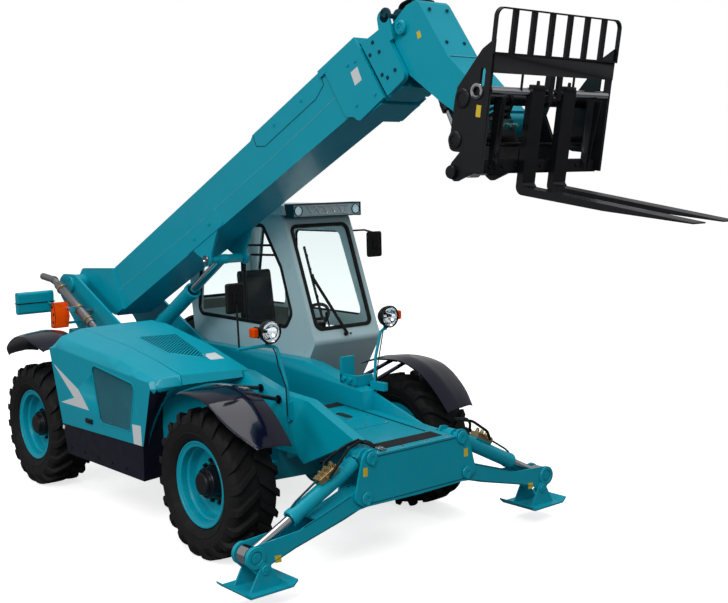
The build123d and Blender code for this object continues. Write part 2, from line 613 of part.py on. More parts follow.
def make_interior():
    """Seat on its pedestal, dashboard, steering column and wheel."""
    floor = cab_floor_z + cab_wall
    cushion = side_plate([(-2050, 1290), (-1560, 1310), (-1540, 1400), (-2030, 1380)], 620, 1010, {1: 40, 2: 40})
    back = side_plate([(-2050, 1360), (-1950, 1360), (-2040, 2000), (-2130, 2000)], 640, 990, {2: 40, 3: 40})
    base = block(-2000, -1650, 680, 950, floor + seat_gap, 1300)
    dash = side_plate([(-1060, 1200), (-900, 1130), (-740, 1280), (-700, 1450), (-900, 1500), (-1040, 1400)],
                      cab_near + 160, cab_far - 180)
    leg = side_plate([(-1060, floor + 6), (-960, floor + 6), (-900, 1200), (-1020, 1220)], 720, 900)
    column = rod((-920, 810, 1430), (-1130, 810, 1565), 32)
    place = Location(Plane((-1140, 810, 1570), z_dir=(-0.82, 0, 0.57)))
    wheel = place * Torus(190, 16) + place * Box(30, 370, 12) + place * Cylinder(45, 26)
    floor_plate = block(-2300, -960, cab_near + 60, cab_far - 60, floor + seat_gap, floor + 8)
    return cushion + back + base + dash + leg + column + wheel + floor_plate


# ---------------------------------------------------------------- things on the frame
def make_tank():
    """Fuel and oil tank under the cab with two access steps."""
    body = side_plate(tank_profile, 470, 1120, {0: 40, 1: 40, 2: 60, 3: 40})
    for x, z in ((-1500, 430), (-1500, 640)):
        tread = block(x - 190, x + 190, 1130, 1205, z, z + 24)
        cheeks = block(x - 190, x - 176, 1110, 1205, z, z + 60) + block(x + 176, x + 190, 1110, 1205, z, z + 60)
        body += tread + cheeks
    body += block(-1690, -1310, 1105, 1135, 430, 720)
    return body


def make_exhaust():
    """Exhaust pipe leaning back along the tower, with its heat shield and clamp."""
    y = exhaust_y
    pipe = bent_tube([(-2300, y - 60, 1250), (-2650, y - 45, 1300), (-3014, y, 1482), (-3883, y, 1902),
                      (-4150, y, 1926)], 36, 90)
    shield = rod((-3060, y, 1504), (-3780, y, 1852), 46)
    clamp = rod((-3300, y, 1620), (-3340, y, 1639), 54)
    arm = block(-3350, -3300, y + 30, -tower_y[1] - seat_gap, 1600, 1625)
    return pipe + shield + clamp + arm


def make_rear_lights():
    """Rear lamp guard on its arm and the orange lamp beside the tower."""
    guard = block(-3960, -3880, -905, -515, 1562, 1792)
    guard = fillet(guard.edges().filter_by(Axis.Y), 30)
    arm = bent_tube([(-3890, -580, 1670), (-3700, -590, 1655), (-3330, -568, 1640)], 10, 60)
    pad = block(-3352, -3300, -585, exhaust_y - 54 - seat_gap, 1615, 1662)
    lamp = side_plate([(-3560, 1440), (-3470, 1440), (-3430, 1560), (-3470, 1700), (-3540, 1700)], -705, -556)
    bracket = block(-3540, -3480, -560, -tower_y[1] - seat_gap, 1470, 1490)
    return guard + arm + pad + lamp + bracket


def make_lamps():
    """Front lamp posts with head lamps and direction lamps."""
    right = bent_tube([(270, -508, 1020), (262, -514, 1300), (180, -540, 1600), (150, -640, 1617),
                       (150, -886, 1617)], 13, 40)
    right += block(250, 290, -524, rail_near[0] - seat_gap, 1040, 1170)
    left = bent_tube([(150, 468, 1040), (150, 500, 1400), (150, 560, 1600), (150, 640, 1640)], 13, 40)
    left += block(130, 170, rail_far_front + seat_gap, 484, 1030, 1110)
    lamps = []
    for y in (-606, 622):
        shell = Pos(150, y, 1727) * Rot(0, 90, 0)
        lamps += [shell * Cone(60, 92, 90), shell * (Pos(0, 0, 50) * Cylinder(92, 16)),
                  rod((140, y, 1610), (140, y, 1660), 14)]
        side = -1 if y < 0 else 1
        lamps.append(block(110, 180, y + side * 95, y + side * 150, 1690, 1765) if side > 0
                     else block(110, 180, y - 150, y - 95, 1690, 1765))
        lamps.append(block(120, 160, min(y, y + side * 120), max(y, y + side * 120), 1718, 1736))
    return right + left + lamps


def make_mirrors():
    """Right mirror on the lamp post, left mirror on the cab."""
    arm_right = bent_tube([(150, -870, 1630.3), (140, -868, 1800), (120, -866, 2050)], 8, 30)
    head_right = block(90, 125, -947, -783, 1888, 2121)
    arm_left = bent_tube([(-985, 1196, 2400), (-900, 1290, 2405), (-812, 1330, 2380)], 9, 30)
    arm_left += block(-1003, -967, cab_far + seat_gap, cab_far + 12, 2370, 2430)
    head_left = block(-830, -790, 1250, 1420, 2150, 2390)
    return arm_right + head_right + arm_left + head_left


# ---------------------------------------------------------------- boom, in its own frame
def make_boom_outer():
    """Outer boom section: tube, tail ears with the pivot tube, front collars, lift bracket."""
    side = [(480, -555), (402, -104), (3452, -108), (3510, -78), (5025, -75), (5000, boom_bottom)]
    body = side_plate(side, -boom_half_width, boom_half_width)
    hollow_half = boom_half_width - boom_wall
    body -= block(300, 5300, -hollow_half, hollow_half, boom_bottom + boom_wall, boom_top - boom_wall)
    ear = side_plate([(677, -108), (44, 156), (-110, 105), (-150, -20), (-95, -125), (480, -545), (660, -545)],
                     boom_half_width - 4, boom_half_width + 22, {1: 60, 2: 60, 3: 60, 4: 60})
    collar = side_plate([(4600, -75), (5025, -75), (5122, -626), (4797, -648), (4763, -590), (4680, -545)],
                        boom_half_width - 4, boom_half_width + 20, {3: 60})
    bracket = side_plate([(2160, -545), (2640, -545), (2430, -700), (2359, -795), (2290, -700)],
                         boom_half_width - 20, boom_half_width, {3: 50})
    boss = pin_y(*lift_eye, boom_half_width, boom_half_width + 22, 58)
    body += both_sides(ear + collar + bracket + boss)
    body += block(4800, 5060, -boom_half_width - 2, boom_half_width + 2, -645, boom_bottom + 4)
    body -= block(4700, 5200, -hollow_half, hollow_half, -600, boom_top - boom_wall)
    body += wear_pads(4900, 4985, (mid_half_width, mid_top, mid_bottom), 18)
    body += pin_y(0, 0, -tower_y[0] + side_gap, tower_y[0] - side_gap, 100)
    body -= pin_y(0, 0, -400, 400, pivot_pin_radius + pin_gap)
    return boom_place * body


def make_section(start, end, half, top, bottom):
    """Square boom tube."""
    w = section_wall
    return (block(start, end, -half, half, bottom, top)
            - block(start - 10, end + 10, -half + w, half - w, bottom + w, top - w))


def wear_pads(start, end, inner, reach):
    """Slide pads that stand inside a tube, `seat_gap` away from the section they guide."""
    half, top, bottom = inner
    g = seat_gap
    side = block(start, end, half + g, half + reach, bottom + 60, bottom + 140)
    side += block(start, end, half + g, half + reach, top - 140, top - 60)
    return [both_sides(side), block(start, end, -half + 30, half - 30, top + g, top + reach),
            block(start, end, -half + 30, half - 30, bottom - reach, bottom - g)]


def make_boom_mid():
    """Middle boom section with its front collar and chain sheaves."""
    body = make_section(620, 5285, mid_half_width, mid_top, mid_bottom)
    collar = side_plate([(5040, -152), (5130, -633), (5384, -610), (5320, -170)], mid_half_width - 2,
                        mid_half_width + 40, {1: 50, 2: 50})
    collar -= side_plate([(5040, -152), (5062, -152), (5152, -633), (5130, -633)], mid_half_width - 9, 300)
    ear = side_plate([(5240, -300), (5300, -60), (5420, -60), (5380, -300)], mid_half_width + 15,
                     mid_half_width + 36, {1: 55, 2: 55})
    body += wear_pads(5190, 5275, (inner_half_width, inner_top, inner_bottom), 19)
    body += both_sides(collar + ear)
    body += block(5080, 5285, -mid_half_width - 2, mid_half_width + 2, -632, mid_bottom + 4)
    return boom_place * body


def make_boom_inner():
    """Inner boom section with the dropped head that holds the carriage."""
    body = make_section(800, 5400, inner_half_width, inner_top, inner_bottom)
    plate = side_plate(head_outline, head_half_width - head_plate, head_half_width, {0: 40, 7: 60})
    front = side_plate(strip(head_front, 20), -head_half_width + 2, head_half_width - 2)
    body += both_sides(plate) + front
    body += block(5340, 5402, -head_half_width + 2, head_half_width - 2, -560, -187)
    body -= block(5330, 5421, -100, 100, -570, -177)
    body += both_sides(pin_y(*tilt_base, head_half_width - 4, head_half_width + 16, 50))
    body += pin_y(*tilt_base, -140, 140, tilt_pin_radius)
    body += pin_y(*carriage_pivot, -head_half_width, head_half_width, 85)
    body -= pin_y(*carriage_pivot, -300, 300, carriage_pin_radius + pin_gap)
    return boom_place * body


# ---------------------------------------------------------------- cylinders
def make_barrel(length, radius, bore, eye_radius, eye_width, pin_radius):
    """Cylinder barrel along +X from its pin eye, hollow for the rod."""
    start = eye_radius * 1.7
    neck = block(0, start + 1, -eye_width / 2, eye_width / 2, -0.6 * radius, 0.6 * radius)
    body = neck + rod((start, 0, 0), (length, 0, 0), radius)
    gland = rod((length - 60, 0, 0), (length, 0, 0), radius + 3)
    eye = pin_y(0, 0, -eye_width / 2, eye_width / 2, eye_radius)
    body = body + gland + eye - pin_y(0, 0, -eye_width, eye_width, pin_radius + pin_gap)
    return body - rod((eye_radius + 10, 0, 0), (length + 10, 0, 0), bore)


def make_cylinder_rod(distance, length, radius, piston, eye_radius, eye_width):
    """Cylinder rod along +X: piston end first, its eye at `distance` from the barrel's pin."""
    tail = distance - length
    return (rod((tail, 0, 0), (distance, 0, 0), radius) + rod((tail, 0, 0), (tail + 60, 0, 0), piston)
            + pin_y(distance, 0, -eye_width / 2, eye_width / 2, eye_radius))


def make_lift_barrel():
    """The boom cylinder's barrel with its lock valve."""
    bore = lift_barrel_radius - 14
    one = make_barrel(lift_barrel_length, lift_barrel_radius, bore, 62, lift_eye_width, lift_pin_radius)
    one += block(190, 330, -50, 50, bore + 4, lift_barrel_radius + 46)
    return aimed(lift_base, lift_top) * (Pos(0, lift_y, 0) * one)


def make_lift_rod():
    """The boom cylinder's rod with the cross pin and spacer in its eye."""
    distance = (Vector(*lift_top) - Vector(*lift_base)).length
    one = make_cylinder_rod(distance, lift_rod_length, lift_rod_radius, lift_barrel_radius - 14 - pin_gap, 44, 90)
    pin = pin_y(distance, 0, -boom_half_width + 25, boom_half_width - 25, lift_pin_radius)
    spacer = pin_y(distance, 0, lift_y + 40, boom_half_width - 30, 40)
    return aimed(lift_base, lift_top) * (Pos(0, lift_y, 0) * one + pin + spacer)


def make_tilt_barrel():
    """Carriage tilt cylinder barrel in the boom head."""
    one = make_barrel(tilt_barrel_length, tilt_barrel_radius, tilt_barrel_radius - 10, 44, 120, tilt_pin_radius)
    return boom_place * aimed(tilt_base, tilt_eye) * one


def make_tilt_rod():
    """Carriage tilt cylinder rod with its own cross pin."""
    distance = (Vector(*tilt_eye) - Vector(*tilt_base)).length
    one = make_cylinder_rod(distance, tilt_rod_length, tilt_rod_radius, tilt_barrel_radius - 10 - pin_gap, 42, 90)
    pin = pin_y(distance, 0, -hitch_plate_y[0] + 5, hitch_plate_y[0] - 5, 28)
    return boom_place * aimed(tilt_base, tilt_eye) * (one + pin)


# ---------------------------------------------------------------- carriage, in its own frame
def make_carriage():
    """Fork carriage: side plates, cross bars and tubes, fork shaft and the boom hitch."""
    side = side_plate([(349, 550), (258, 484), (80, 240), (66, 150), (60, -40), (42, -90), (70, -150), (110, -155),
                       (204, -150), (198, -259), (355, -256)], carriage_half_width - 20, carriage_half_width,
                      {1: 30, 3: 60, 5: 40, 6: 40})
    slot = side_plate([(265, 260), (305, 260), (305, 375), (265, 375)], 500, 700, {0: 19, 1: 19, 2: 19, 3: 19})
    side -= slot
    for x, z, r in ((136, 177, 52), (254, 231, 46), (107, -82, 46)):
        side += pin_y(x, z, carriage_half_width, carriage_half_width + 8, r)
        side -= pin_y(x, z, carriage_half_width - 6, carriage_half_width + 20, r * 0.55)
    body = both_sides(side)
    reach = carriage_half_width - 10
    for x, z, r in ((136, 177, 35), (107, -82, 30), (332, 245, 24)):
        body += pin_y(x, z, -reach, reach, r)
    body += block(340, 362, -reach, reach, 350, 461)
    body += block(280, 314, -reach, reach, -265, -180)
    hitch = side_plate([(-70, 55), (40, 90), (150, 235), (190, 177), (160, 90), (290, -120), (290, -262), (190, -262),
                        (60, -240), (-250, -410), (-335, -370), (-300, -285), (-110, -60)], *hitch_plate_y,
                       {0: 50, 1: 60, 9: 40, 10: 40, 11: 30, 12: 50})
    boss = pin_y(0, 0, hitch_plate_y[0], hitch_plate_y[1] + 16, 72)
    eye_boss = pin_y(*hitch_eye, hitch_plate_y[0], hitch_plate_y[1] + 16, 48)
    body += both_sides(hitch + boss + eye_boss)
    body += pin_y(0, 0, -hitch_plate_y[1] - 24, hitch_plate_y[1] + 24, carriage_pin_radius)
    for y in (30, 60):
        body += side_plate([(300, 461), (340, 461), (340, 200), (200, 150), (200, 190), (290, 260)], y - 50, y - 38)
    gusset = side_plate([(300, 200), (345, 200), (345, -240), (300, -240)], 420, 436)
    body += both_sides(gusset)
    return carriage_place * body


def make_guard():
    """Load guard: a rounded frame of flat bar with upright bars."""
    half = guard_half_width
    ring = cross_plate([(-half, 461.3), (half, 461.3), (half, 737), (-half, 737)], 336, 366, {2: 60, 3: 60})
    ring -= cross_plate([(-half + 9.5, 473), (half - 9.5, 473), (half - 9.5, 727), (-half + 9.5, 727)], 330, 370,
                        {2: 50, 3: 50})
    ring -= both_sides(block(330, 350.5, carriage_half_width - 20.5, half - 9.4, 460, 551))
    step = 2 * half / 7
    for n in range(1, 7):
        y = -half + n * step
        ring += block(340, 362, y - 19, y + 19, 470, 730)
    return carriage_place * ring


def make_forks():
    """Two pallet forks hung on the fork shaft in front of the carriage."""
    x = fork_face_x
    profile = [(x, 272), (x, -397), (x + 60, -397), (x + 700, -386), (x + fork_length, -352),
               (x + fork_length, -344), (x + 70, -344), (x + fork_thickness, -324), (x + fork_thickness, 272)]
    fork = side_plate(profile, fork_y - fork_width / 2, fork_y + fork_width / 2, {1: 55, 7: 15})
    fork -= pin_y(332, 245, 0, 400, 24 + seat_gap)
    return carriage_place * both_sides(fork)


# ---------------------------------------------------------------- stabilisers
def make_leg():
    """Left stabiliser leg, a box of two plates between the front box plates."""
    low = [(440, 560), (480, 520), (560, 512), (700, 470), (900, 420), (1130, 365), (1345, 300), (1366, 244),
           (1450, 238)]
    top = [(1554, 345), (1545, 410), (1500, 450), (1440, 456), (1250, 470), (1100, 480), (900, 545), (700, 610),
           (560, 660), (500, 665), (445, 630)]
    rear, front = leg_mid_x - leg_half, leg_mid_x + leg_half
    rounds = {0: 30, 1: 25, 7: 30, 8: 30, 9: 40, 18: 25, 19: 30}
    body = (cross_plate(low + top, rear, rear + leg_plate, rounds)
            + cross_plate(low + top, front - leg_plate, front, rounds))
    under = low[2:7]
    body += cross_plate(under + [(y + 3, z + 16) for y, z in reversed(under)], rear + 2, front - 2)
    over = [(560, 656), (700, 606), (900, 541), (950, 525)]
    body += cross_plate(over + [(y - 5, z - 14) for y, z in reversed(over)], rear + 2, front - 2)
    body += pin_x(*leg_pivot, rear, front, 62)
    for x_low, x_high in ((rear - 7, rear + leg_plate + 2), (front - leg_plate - 2, front + 7)):
        body += pin_x(*leg_boss, x_low, x_high, 76)
    body += pin_x(*pad_pivot, rear - 3, rear + leg_plate, 46) + pin_x(*pad_pivot, front - leg_plate, front + 3, 46)
    body -= pin_x(*leg_pivot, 900, 1300, leg_pin_radius + pin_gap)
    return body - pin_x(*pad_pivot, 900, 1300, pad_pin_radius + pin_gap)


def make_leg_barrel():
    """Left stabiliser cylinder barrel with its lock valve."""
    one = make_barrel(leg_barrel_length, leg_barrel_radius, leg_barrel_radius - 12, 54, 70, leg_pin_radius)
    valve = block(240, 420, -40, 40, leg_barrel_radius - 8, leg_barrel_radius + 46)
    return leg_cylinder_place * (one + valve)


def make_leg_rod():
    """Left stabiliser cylinder rod."""
    distance = (Vector(*leg_boss) - Vector(*leg_cylinder_top)).length
    return leg_cylinder_place * make_cylinder_rod(distance, leg_rod_length, leg_rod_radius,
                                                  leg_barrel_radius - 12 - pin_gap, 68, 90)


def make_pad():
    """Left stabiliser foot, hung between its two lugs."""
    y, z = pad_pivot
    base = cross_plate([(y - pad_half, pad_bottom + 34), (y - pad_half + 40, pad_bottom),
                        (y + pad_half - 40, pad_bottom), (y + pad_half, pad_bottom + 34),
                        (y + pad_half, pad_bottom + 50), (y + pad_half - 45, pad_bottom + 16),
                        (y - pad_half + 45, pad_bottom + 16), (y - pad_half, pad_bottom + 50)], *pad_x)
    lugs = []
    rear, front = leg_mid_x - leg_half - 9, leg_mid_x + leg_half + 9
    for x in (rear - 16, front):
        lugs.append(cross_plate([(y - 130, pad_bottom + 14), (y + 130, pad_bottom + 14), (y + 48, z + 10),
                                 (y + 20, z + 48), (y - 20, z + 48), (y - 48, z + 10)], x, x + 16, {3: 25, 4: 25}))
    pins = (pin_x(y, z, rear - 20, rear + 26, pad_pin_radius)
            + pin_x(y, z, front - 26, front + 20, pad_pin_radius))
    return base + lugs[0] + lugs[1] + pins


# ---------------------------------------------------------------- export
def export(shape, name):
    """Writes one node, moved to the part's origin."""
    export_step(Pos(front_axle_x, 0, 0) * shape, f"parts/{name}.step")


def main():
    """Builds every node and writes it."""
    os.makedirs("parts", exist_ok=True)
    singles = {
        "chassis_frame": make_frame, "tow_hitch": make_hitch, "front_box": make_front_box,
        "front_fenders": make_front_fenders, "rear_fenders": make_rear_fenders, "engine_pod": make_pod, "hood_lid": make_hood,
        "engine_block": make_engine, "cab_shell": make_cab, "cab_roof": make_roof, "cab_glass": make_glass,
        "cab_interior": make_interior, "cab_door": make_door, "door_glass": make_door_glass,
        "side_tank": make_tank, "exhaust": make_exhaust, "rear_lights": make_rear_lights,
        "front_lamps": make_lamps, "mirrors": make_mirrors, "boom_outer": make_boom_outer,
        "boom_mid": make_boom_mid, "boom_inner": make_boom_inner, "lift_barrel": make_lift_barrel,
        "lift_rod": make_lift_rod, "tilt_barrel": make_tilt_barrel, "tilt_rod": make_tilt_rod,
        "carriage": make_carriage, "load_guard": make_guard, "forks": make_forks}
    for name, make in singles.items():
        export(make(), name)
    sided = {"leg": make_leg, "leg_barrel": make_leg_barrel, "leg_rod": make_leg_rod, "pad": make_pad}
    for name, make in sided.items():
        shape = make()
        export(shape, f"{name}_left")
        export(mirror(shape, about=Plane.XZ), f"{name}_right")
    axle, knuckle, rim, tyre = make_axle(), make_knuckle(), make_rim(), make_tyre()
    for end, x in (("front", 0.0), ("rear", -wheelbase)):
        turn = Rot(0, 0, 180 if end == "rear" else 0)
        export(Pos(x, 0, axle_z) * (axle if end == "front" else mirror(axle, about=Plane.YZ)), f"{end}_axle")
        export(Pos(x, 0, axle_z) * (knuckle if end == "front" else mirror(knuckle, about=Plane.YZ)),
               f"{end}_knuckle_left")
        export(Pos(x, 0, axle_z) * turn * (knuckle if end == "rear" else mirror(knuckle, about=Plane.XZ)),
               f"{end}_knuckle_right")
        for side, way in (("left", 1), ("right", -1)):
            place = Pos(x, way * wheel_y, axle_z) * Rot(0, 0, 0 if way > 0 else 180)
            export(place * rim, f"{end}_rim_{side}")
            export(place * tyre, f"{end}_tyre_{side}")


if __name__ == "__main__":
    main()
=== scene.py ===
"""Looks of the telehandler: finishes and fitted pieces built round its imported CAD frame.

Lengths in the classes are millimetres with X = 0 at the front axle, as a fitter would measure them;
each frame below turns them into metres in the part's own frame.
"""

import json
import logging
import math
from dataclasses import dataclass
from enum import Enum
from functools import cached_property
from typing import Callable, ClassVar, Iterable, Optional, Sequence

import bmesh
import bpy
from mathutils import Matrix, Vector

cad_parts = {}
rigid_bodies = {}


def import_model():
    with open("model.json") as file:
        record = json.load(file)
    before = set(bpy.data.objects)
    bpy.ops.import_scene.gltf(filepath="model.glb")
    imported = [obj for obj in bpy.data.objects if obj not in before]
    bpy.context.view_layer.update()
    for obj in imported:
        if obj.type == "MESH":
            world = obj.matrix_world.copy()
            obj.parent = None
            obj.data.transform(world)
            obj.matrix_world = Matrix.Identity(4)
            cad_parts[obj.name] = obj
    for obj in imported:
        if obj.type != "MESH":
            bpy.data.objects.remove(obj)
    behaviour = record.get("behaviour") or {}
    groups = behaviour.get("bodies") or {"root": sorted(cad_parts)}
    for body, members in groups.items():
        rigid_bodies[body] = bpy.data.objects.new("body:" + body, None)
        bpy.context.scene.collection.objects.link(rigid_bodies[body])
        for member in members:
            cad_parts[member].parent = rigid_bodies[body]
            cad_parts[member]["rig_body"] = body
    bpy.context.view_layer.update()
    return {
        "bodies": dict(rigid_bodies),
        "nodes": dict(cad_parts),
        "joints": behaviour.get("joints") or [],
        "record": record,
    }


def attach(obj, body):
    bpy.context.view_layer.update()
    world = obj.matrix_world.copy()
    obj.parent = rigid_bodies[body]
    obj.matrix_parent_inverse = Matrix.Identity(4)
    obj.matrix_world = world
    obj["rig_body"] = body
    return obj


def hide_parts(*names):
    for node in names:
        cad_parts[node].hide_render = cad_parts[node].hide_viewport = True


LOG = logging.getLogger("telehandler")
Point = tuple[float, float]
Place = tuple[float, float, float]
Line = tuple[Point, ...]
Run = tuple[Place, ...]
Colour = tuple[float, float, float]

FRONT_AXLE_X = 233.5
WHEELBASE = 3020.0
AXLE_Z = 588.0
WHEEL_Y = 1015.0
BOOM_PIVOT = (-3770.0, 0.0, 1850.0)
BOOM_ANGLE = math.radians(25.2)
CARRIAGE_PIVOT = (5919.0, 0.0, -1277.0)
CARRIAGE_LEAN = math.radians(9.5)
MACHINE = Matrix.Scale(0.001, 4) @ Matrix.Translation((FRONT_AXLE_X, 0.0, 0.0))
BOOM = MACHINE @ Matrix.Translation(BOOM_PIVOT) @ Matrix.Rotation(-BOOM_ANGLE, 4, "Y")
SCREEN_UP = Vector((-380.0, 0.0, 1001.0)).normalized()
SCREEN_OUT = Vector((0.0, 1.0, 0.0)).cross(SCREEN_UP)
SCREEN = MACHINE @ Matrix.Translation((-616.0, 0.0, 1527.0)) @ Matrix(
    ((0.0, 1.0, 0.0), SCREEN_UP, SCREEN_OUT)).transposed().to_4x4()
CARRIAGE = BOOM @ Matrix.Translation(CARRIAGE_PIVOT) @ Matrix.Rotation(BOOM_ANGLE + CARRIAGE_LEAN, 4, "Y")


class Side(Enum):
    """Side of the machine, as seen from the driver's seat."""

    LEFT = 1
    RIGHT = -1

    @property
    def word(self) -> str:
        """Name used in pieces and bodies."""
        return self.name.lower()


class End(Enum):
    """End of the machine."""

    FRONT = 0.0
    REAR = -WHEELBASE

    @property
    def word(self) -> str:
        """Name used in pieces and bodies."""
        return self.name.lower()


# ---------------------------------------------------------------- finishes
# Noise of the clouds in the colour, the gloss, the dust and the smears: patches per metre, octaves, stretch.
CLOUD = (2.3, 5.0)
WEAR = (9.0, 6.0)
DUST = (14.0, 8.0)
SMEAR = (5.0, 6.0, (1.0, 1.0, 2.5))


def linear(red: int, green: int, blue: int) -> Colour:
    """Linear colour of an 8-bit display colour.

    Args:
        red: Red, 0 to 255.
        green: Green, 0 to 255.
        blue: Blue, 0 to 255.

    Returns:
        Linear red, green and blue.
    """
    def one(value: int) -> float:
        """Linear value of one channel."""
        part = value / 255
        return part / 12.92 if part <= 0.04045 else ((part + 0.055) / 1.055) ** 2.4

    return one(red), one(green), one(blue)


class NodeBench:
    """Adds and joins the nodes of one material or sky."""

    def __init__(self, owner: bpy.types.ID) -> None:
        """Starts the nodes.

        Args:
            owner: The material or world.
        """
        owner.use_nodes = True
        self.owner = owner
        self.tree = owner.node_tree
        self.shader = self.tree.nodes.get("Principled BSDF") or self.tree.nodes["Background"]

    @cached_property
    def coordinates(self) -> bpy.types.NodeSocket:
        """The object's own coordinates in metres."""
        return self.tree.nodes.new("ShaderNodeTexCoord").outputs["Object"]

    def add(self, kind: str, **settings: object) -> bpy.types.Node:
        """A new node.

        Args:
            kind: Node type.
            **settings: Properties of the node, or values of its inputs by name with _ for a blank.

        Returns:
            The node.
        """
        node = self.tree.nodes.new(kind)
        for key, value in settings.items():
            if hasattr(node, key):
                setattr(node, key, value)
            else:
                node.inputs[key.replace("_", " ")].default_value = value
        return node

    def join(self, output: bpy.types.NodeSocket, target: bpy.types.NodeSocket) -> None:
        """Links two sockets."""
        self.tree.links.new(output, target)

    def noise(self, scale: float, detail: float, stretch: Optional[Place] = None) -> bpy.types.NodeSocket:
        """Noise over the object's own coordinates.

        Args:
            scale: Patches per metre.
            detail: Octaves.
            stretch: Scale along each axis.

        Returns:
            The noise value.
        """
        node = self.add("ShaderNodeTexNoise", Scale=scale, Detail=detail)
        source = self.coordinates
        if stretch:
            mapping = self.add("ShaderNodeMapping", Scale=stretch)
            self.join(source, mapping.inputs["Vector"])
            source = mapping.outputs["Vector"]
        self.join(source, node.inputs["Vector"])
        return node.outputs["Fac"]

    def ramp(self, value: bpy.types.NodeSocket, low: float, high: float, first: float = 0.0,
             last: float = 1.0) -> bpy.types.NodeSocket:
        """Value stretched from one range to another.

        Args:
            value: Input.
            low: Input that gives `first`.
            high: Input that gives `last`.
            first: Output at `low`.
            last: Output at `high`.

        Returns:
            The stretched value.
        """
        node = self.add("ShaderNodeMapRange", From_Min=low, From_Max=high, To_Min=first, To_Max=last)
        self.join(value, node.inputs["Value"])
        return node.outputs["Result"]

    def mix(self, factor: bpy.types.NodeSocket, first: object, second: object) -> bpy.types.NodeSocket:
        """Mix of two colours.

        Args:
            factor: 0 gives the first, 1 the second.
            first: Colour or socket.
            second: Colour or socket.

        Returns:
            The mixed colour.
        """
        node = self.add("ShaderNodeMix", data_type="RGBA")
        self.join(factor, node.inputs[0])
        for value, slot in ((first, 6), (second, 7)):
            if isinstance(value, bpy.types.NodeSocket):
                self.join(value, node.inputs[slot])
            else:
                node.inputs[slot].default_value = (*value, 1.0)
        return node.outputs[2]

    def combine(self, operation: str, first: bpy.types.NodeSocket,
                second: bpy.types.NodeSocket) -> bpy.types.NodeSocket:
        """Product or larger of two values.

        Args:
            operation: MULTIPLY or MAXIMUM.
            first: One value.
            second: Other value.

        Returns:
            The result.
        """
        node = self.add("ShaderNodeMath", operation=operation)
        self.join(first, node.inputs[0])
        self.join(second, node.inputs[1])
        return node.outputs[0]

    def seen_rays(self) -> bpy.types.NodeSocket:
        """1 for rays from the camera or through a pane, 0 for the others."""
        rays = self.add("ShaderNodeLightPath").outputs
        return self.combine("MAXIMUM", rays["Is Camera Ray"], rays["Is Transmission Ray"])

    def height(self) -> bpy.types.NodeSocket:
        """Height of the surface in metres."""
        node = self.add("ShaderNodeSeparateXYZ")
        self.join(self.coordinates, node.inputs[0])
        return node.outputs["Z"]

    def bump(self, value: bpy.types.NodeSocket, strength: float, distance: float) -> None:
        """Small relief on the shader.

        Args:
            value: Height pattern.
            strength: How strongly it shades.
            distance: Depth in metres.
        """
        node = self.add("ShaderNodeBump", Strength=strength, Distance=distance)
        self.join(value, node.inputs["Height"])
        self.join(node.outputs["Normal"], self.shader.inputs["Normal"])


@dataclass(frozen=True)
class Finish:
    """A finish with its colour, gloss, grain and soiling."""

    name: str
    colour: Colour
    slot: str
    shade: float = 0.86
    roughness: float = 0.4
    spread: float = 0.08
    metallic: float = 0.0
    specular: float = 0.5
    coat: float = 0.0
    coat_roughness: float = 0.08
    grain: float = 160.0
    grain_detail: float = 2.0
    relief: float = 0.05
    depth: float = 0.0006
    soil: float = 0.0
    soil_colour: Colour = (0.19, 0.155, 0.115)
    soil_heights: Point = (1.1, 0.1)

    def material(self) -> bpy.types.Material:
        """The finish's material, made once."""
        known = bpy.data.materials.get(self.name)
        return known if known else self.make()

    def make(self) -> bpy.types.Material:
        """Builds the finish's nodes."""
        bench = NodeBench(bpy.data.materials.new(self.name))
        shader = bench.shader.inputs
        shader["Metallic"].default_value = self.metallic
        shader["Specular IOR Level"].default_value = self.specular
        shader["Coat Weight"].default_value = self.coat
        shader["Coat Roughness"].default_value = self.coat_roughness
        cloud = bench.ramp(bench.noise(*CLOUD), 0.35, 0.7)
        darker = tuple(part * self.shade for part in self.colour)
        tone = bench.mix(cloud, self.colour, darker)
        rough = bench.ramp(bench.noise(*WEAR), 0.3, 0.75, self.roughness - self.spread,
                           self.roughness + self.spread)
        if self.soil:
            low = bench.ramp(bench.height(), *self.soil_heights, 0.0, self.soil)
            dust = bench.combine("MULTIPLY", low, bench.ramp(bench.noise(*DUST), 0.4, 0.68))
            tone = bench.mix(dust, tone, self.soil_colour)
        bench.join(tone, shader["Base Color"])
        bench.join(rough, shader["Roughness"])
        bench.bump(bench.noise(self.grain, self.grain_detail), self.relief, self.depth)
        return bench.owner


@dataclass(frozen=True)
class ClearFinish(Finish):
    """Clear pane or lens that tints what is seen through it."""

    clear: float = 1.0
    ior: float = 1.1

    def make(self) -> bpy.types.Material:
        """Builds a clear material with faint smears."""
        bench = NodeBench(bpy.data.materials.new(self.name))
        shader = bench.shader.inputs
        shader["Base Color"].default_value = (*self.colour, 1.0)
        shader["Transmission Weight"].default_value = self.clear
        shader["IOR"].default_value = self.ior
        smear = bench.ramp(bench.noise(*SMEAR), 0.35, 0.8, self.roughness, self.roughness + self.spread)
        bench.join(smear, shader["Roughness"])
        bench.bump(bench.noise(self.grain, self.grain_detail), self.relief, self.depth)
        return bench.owner


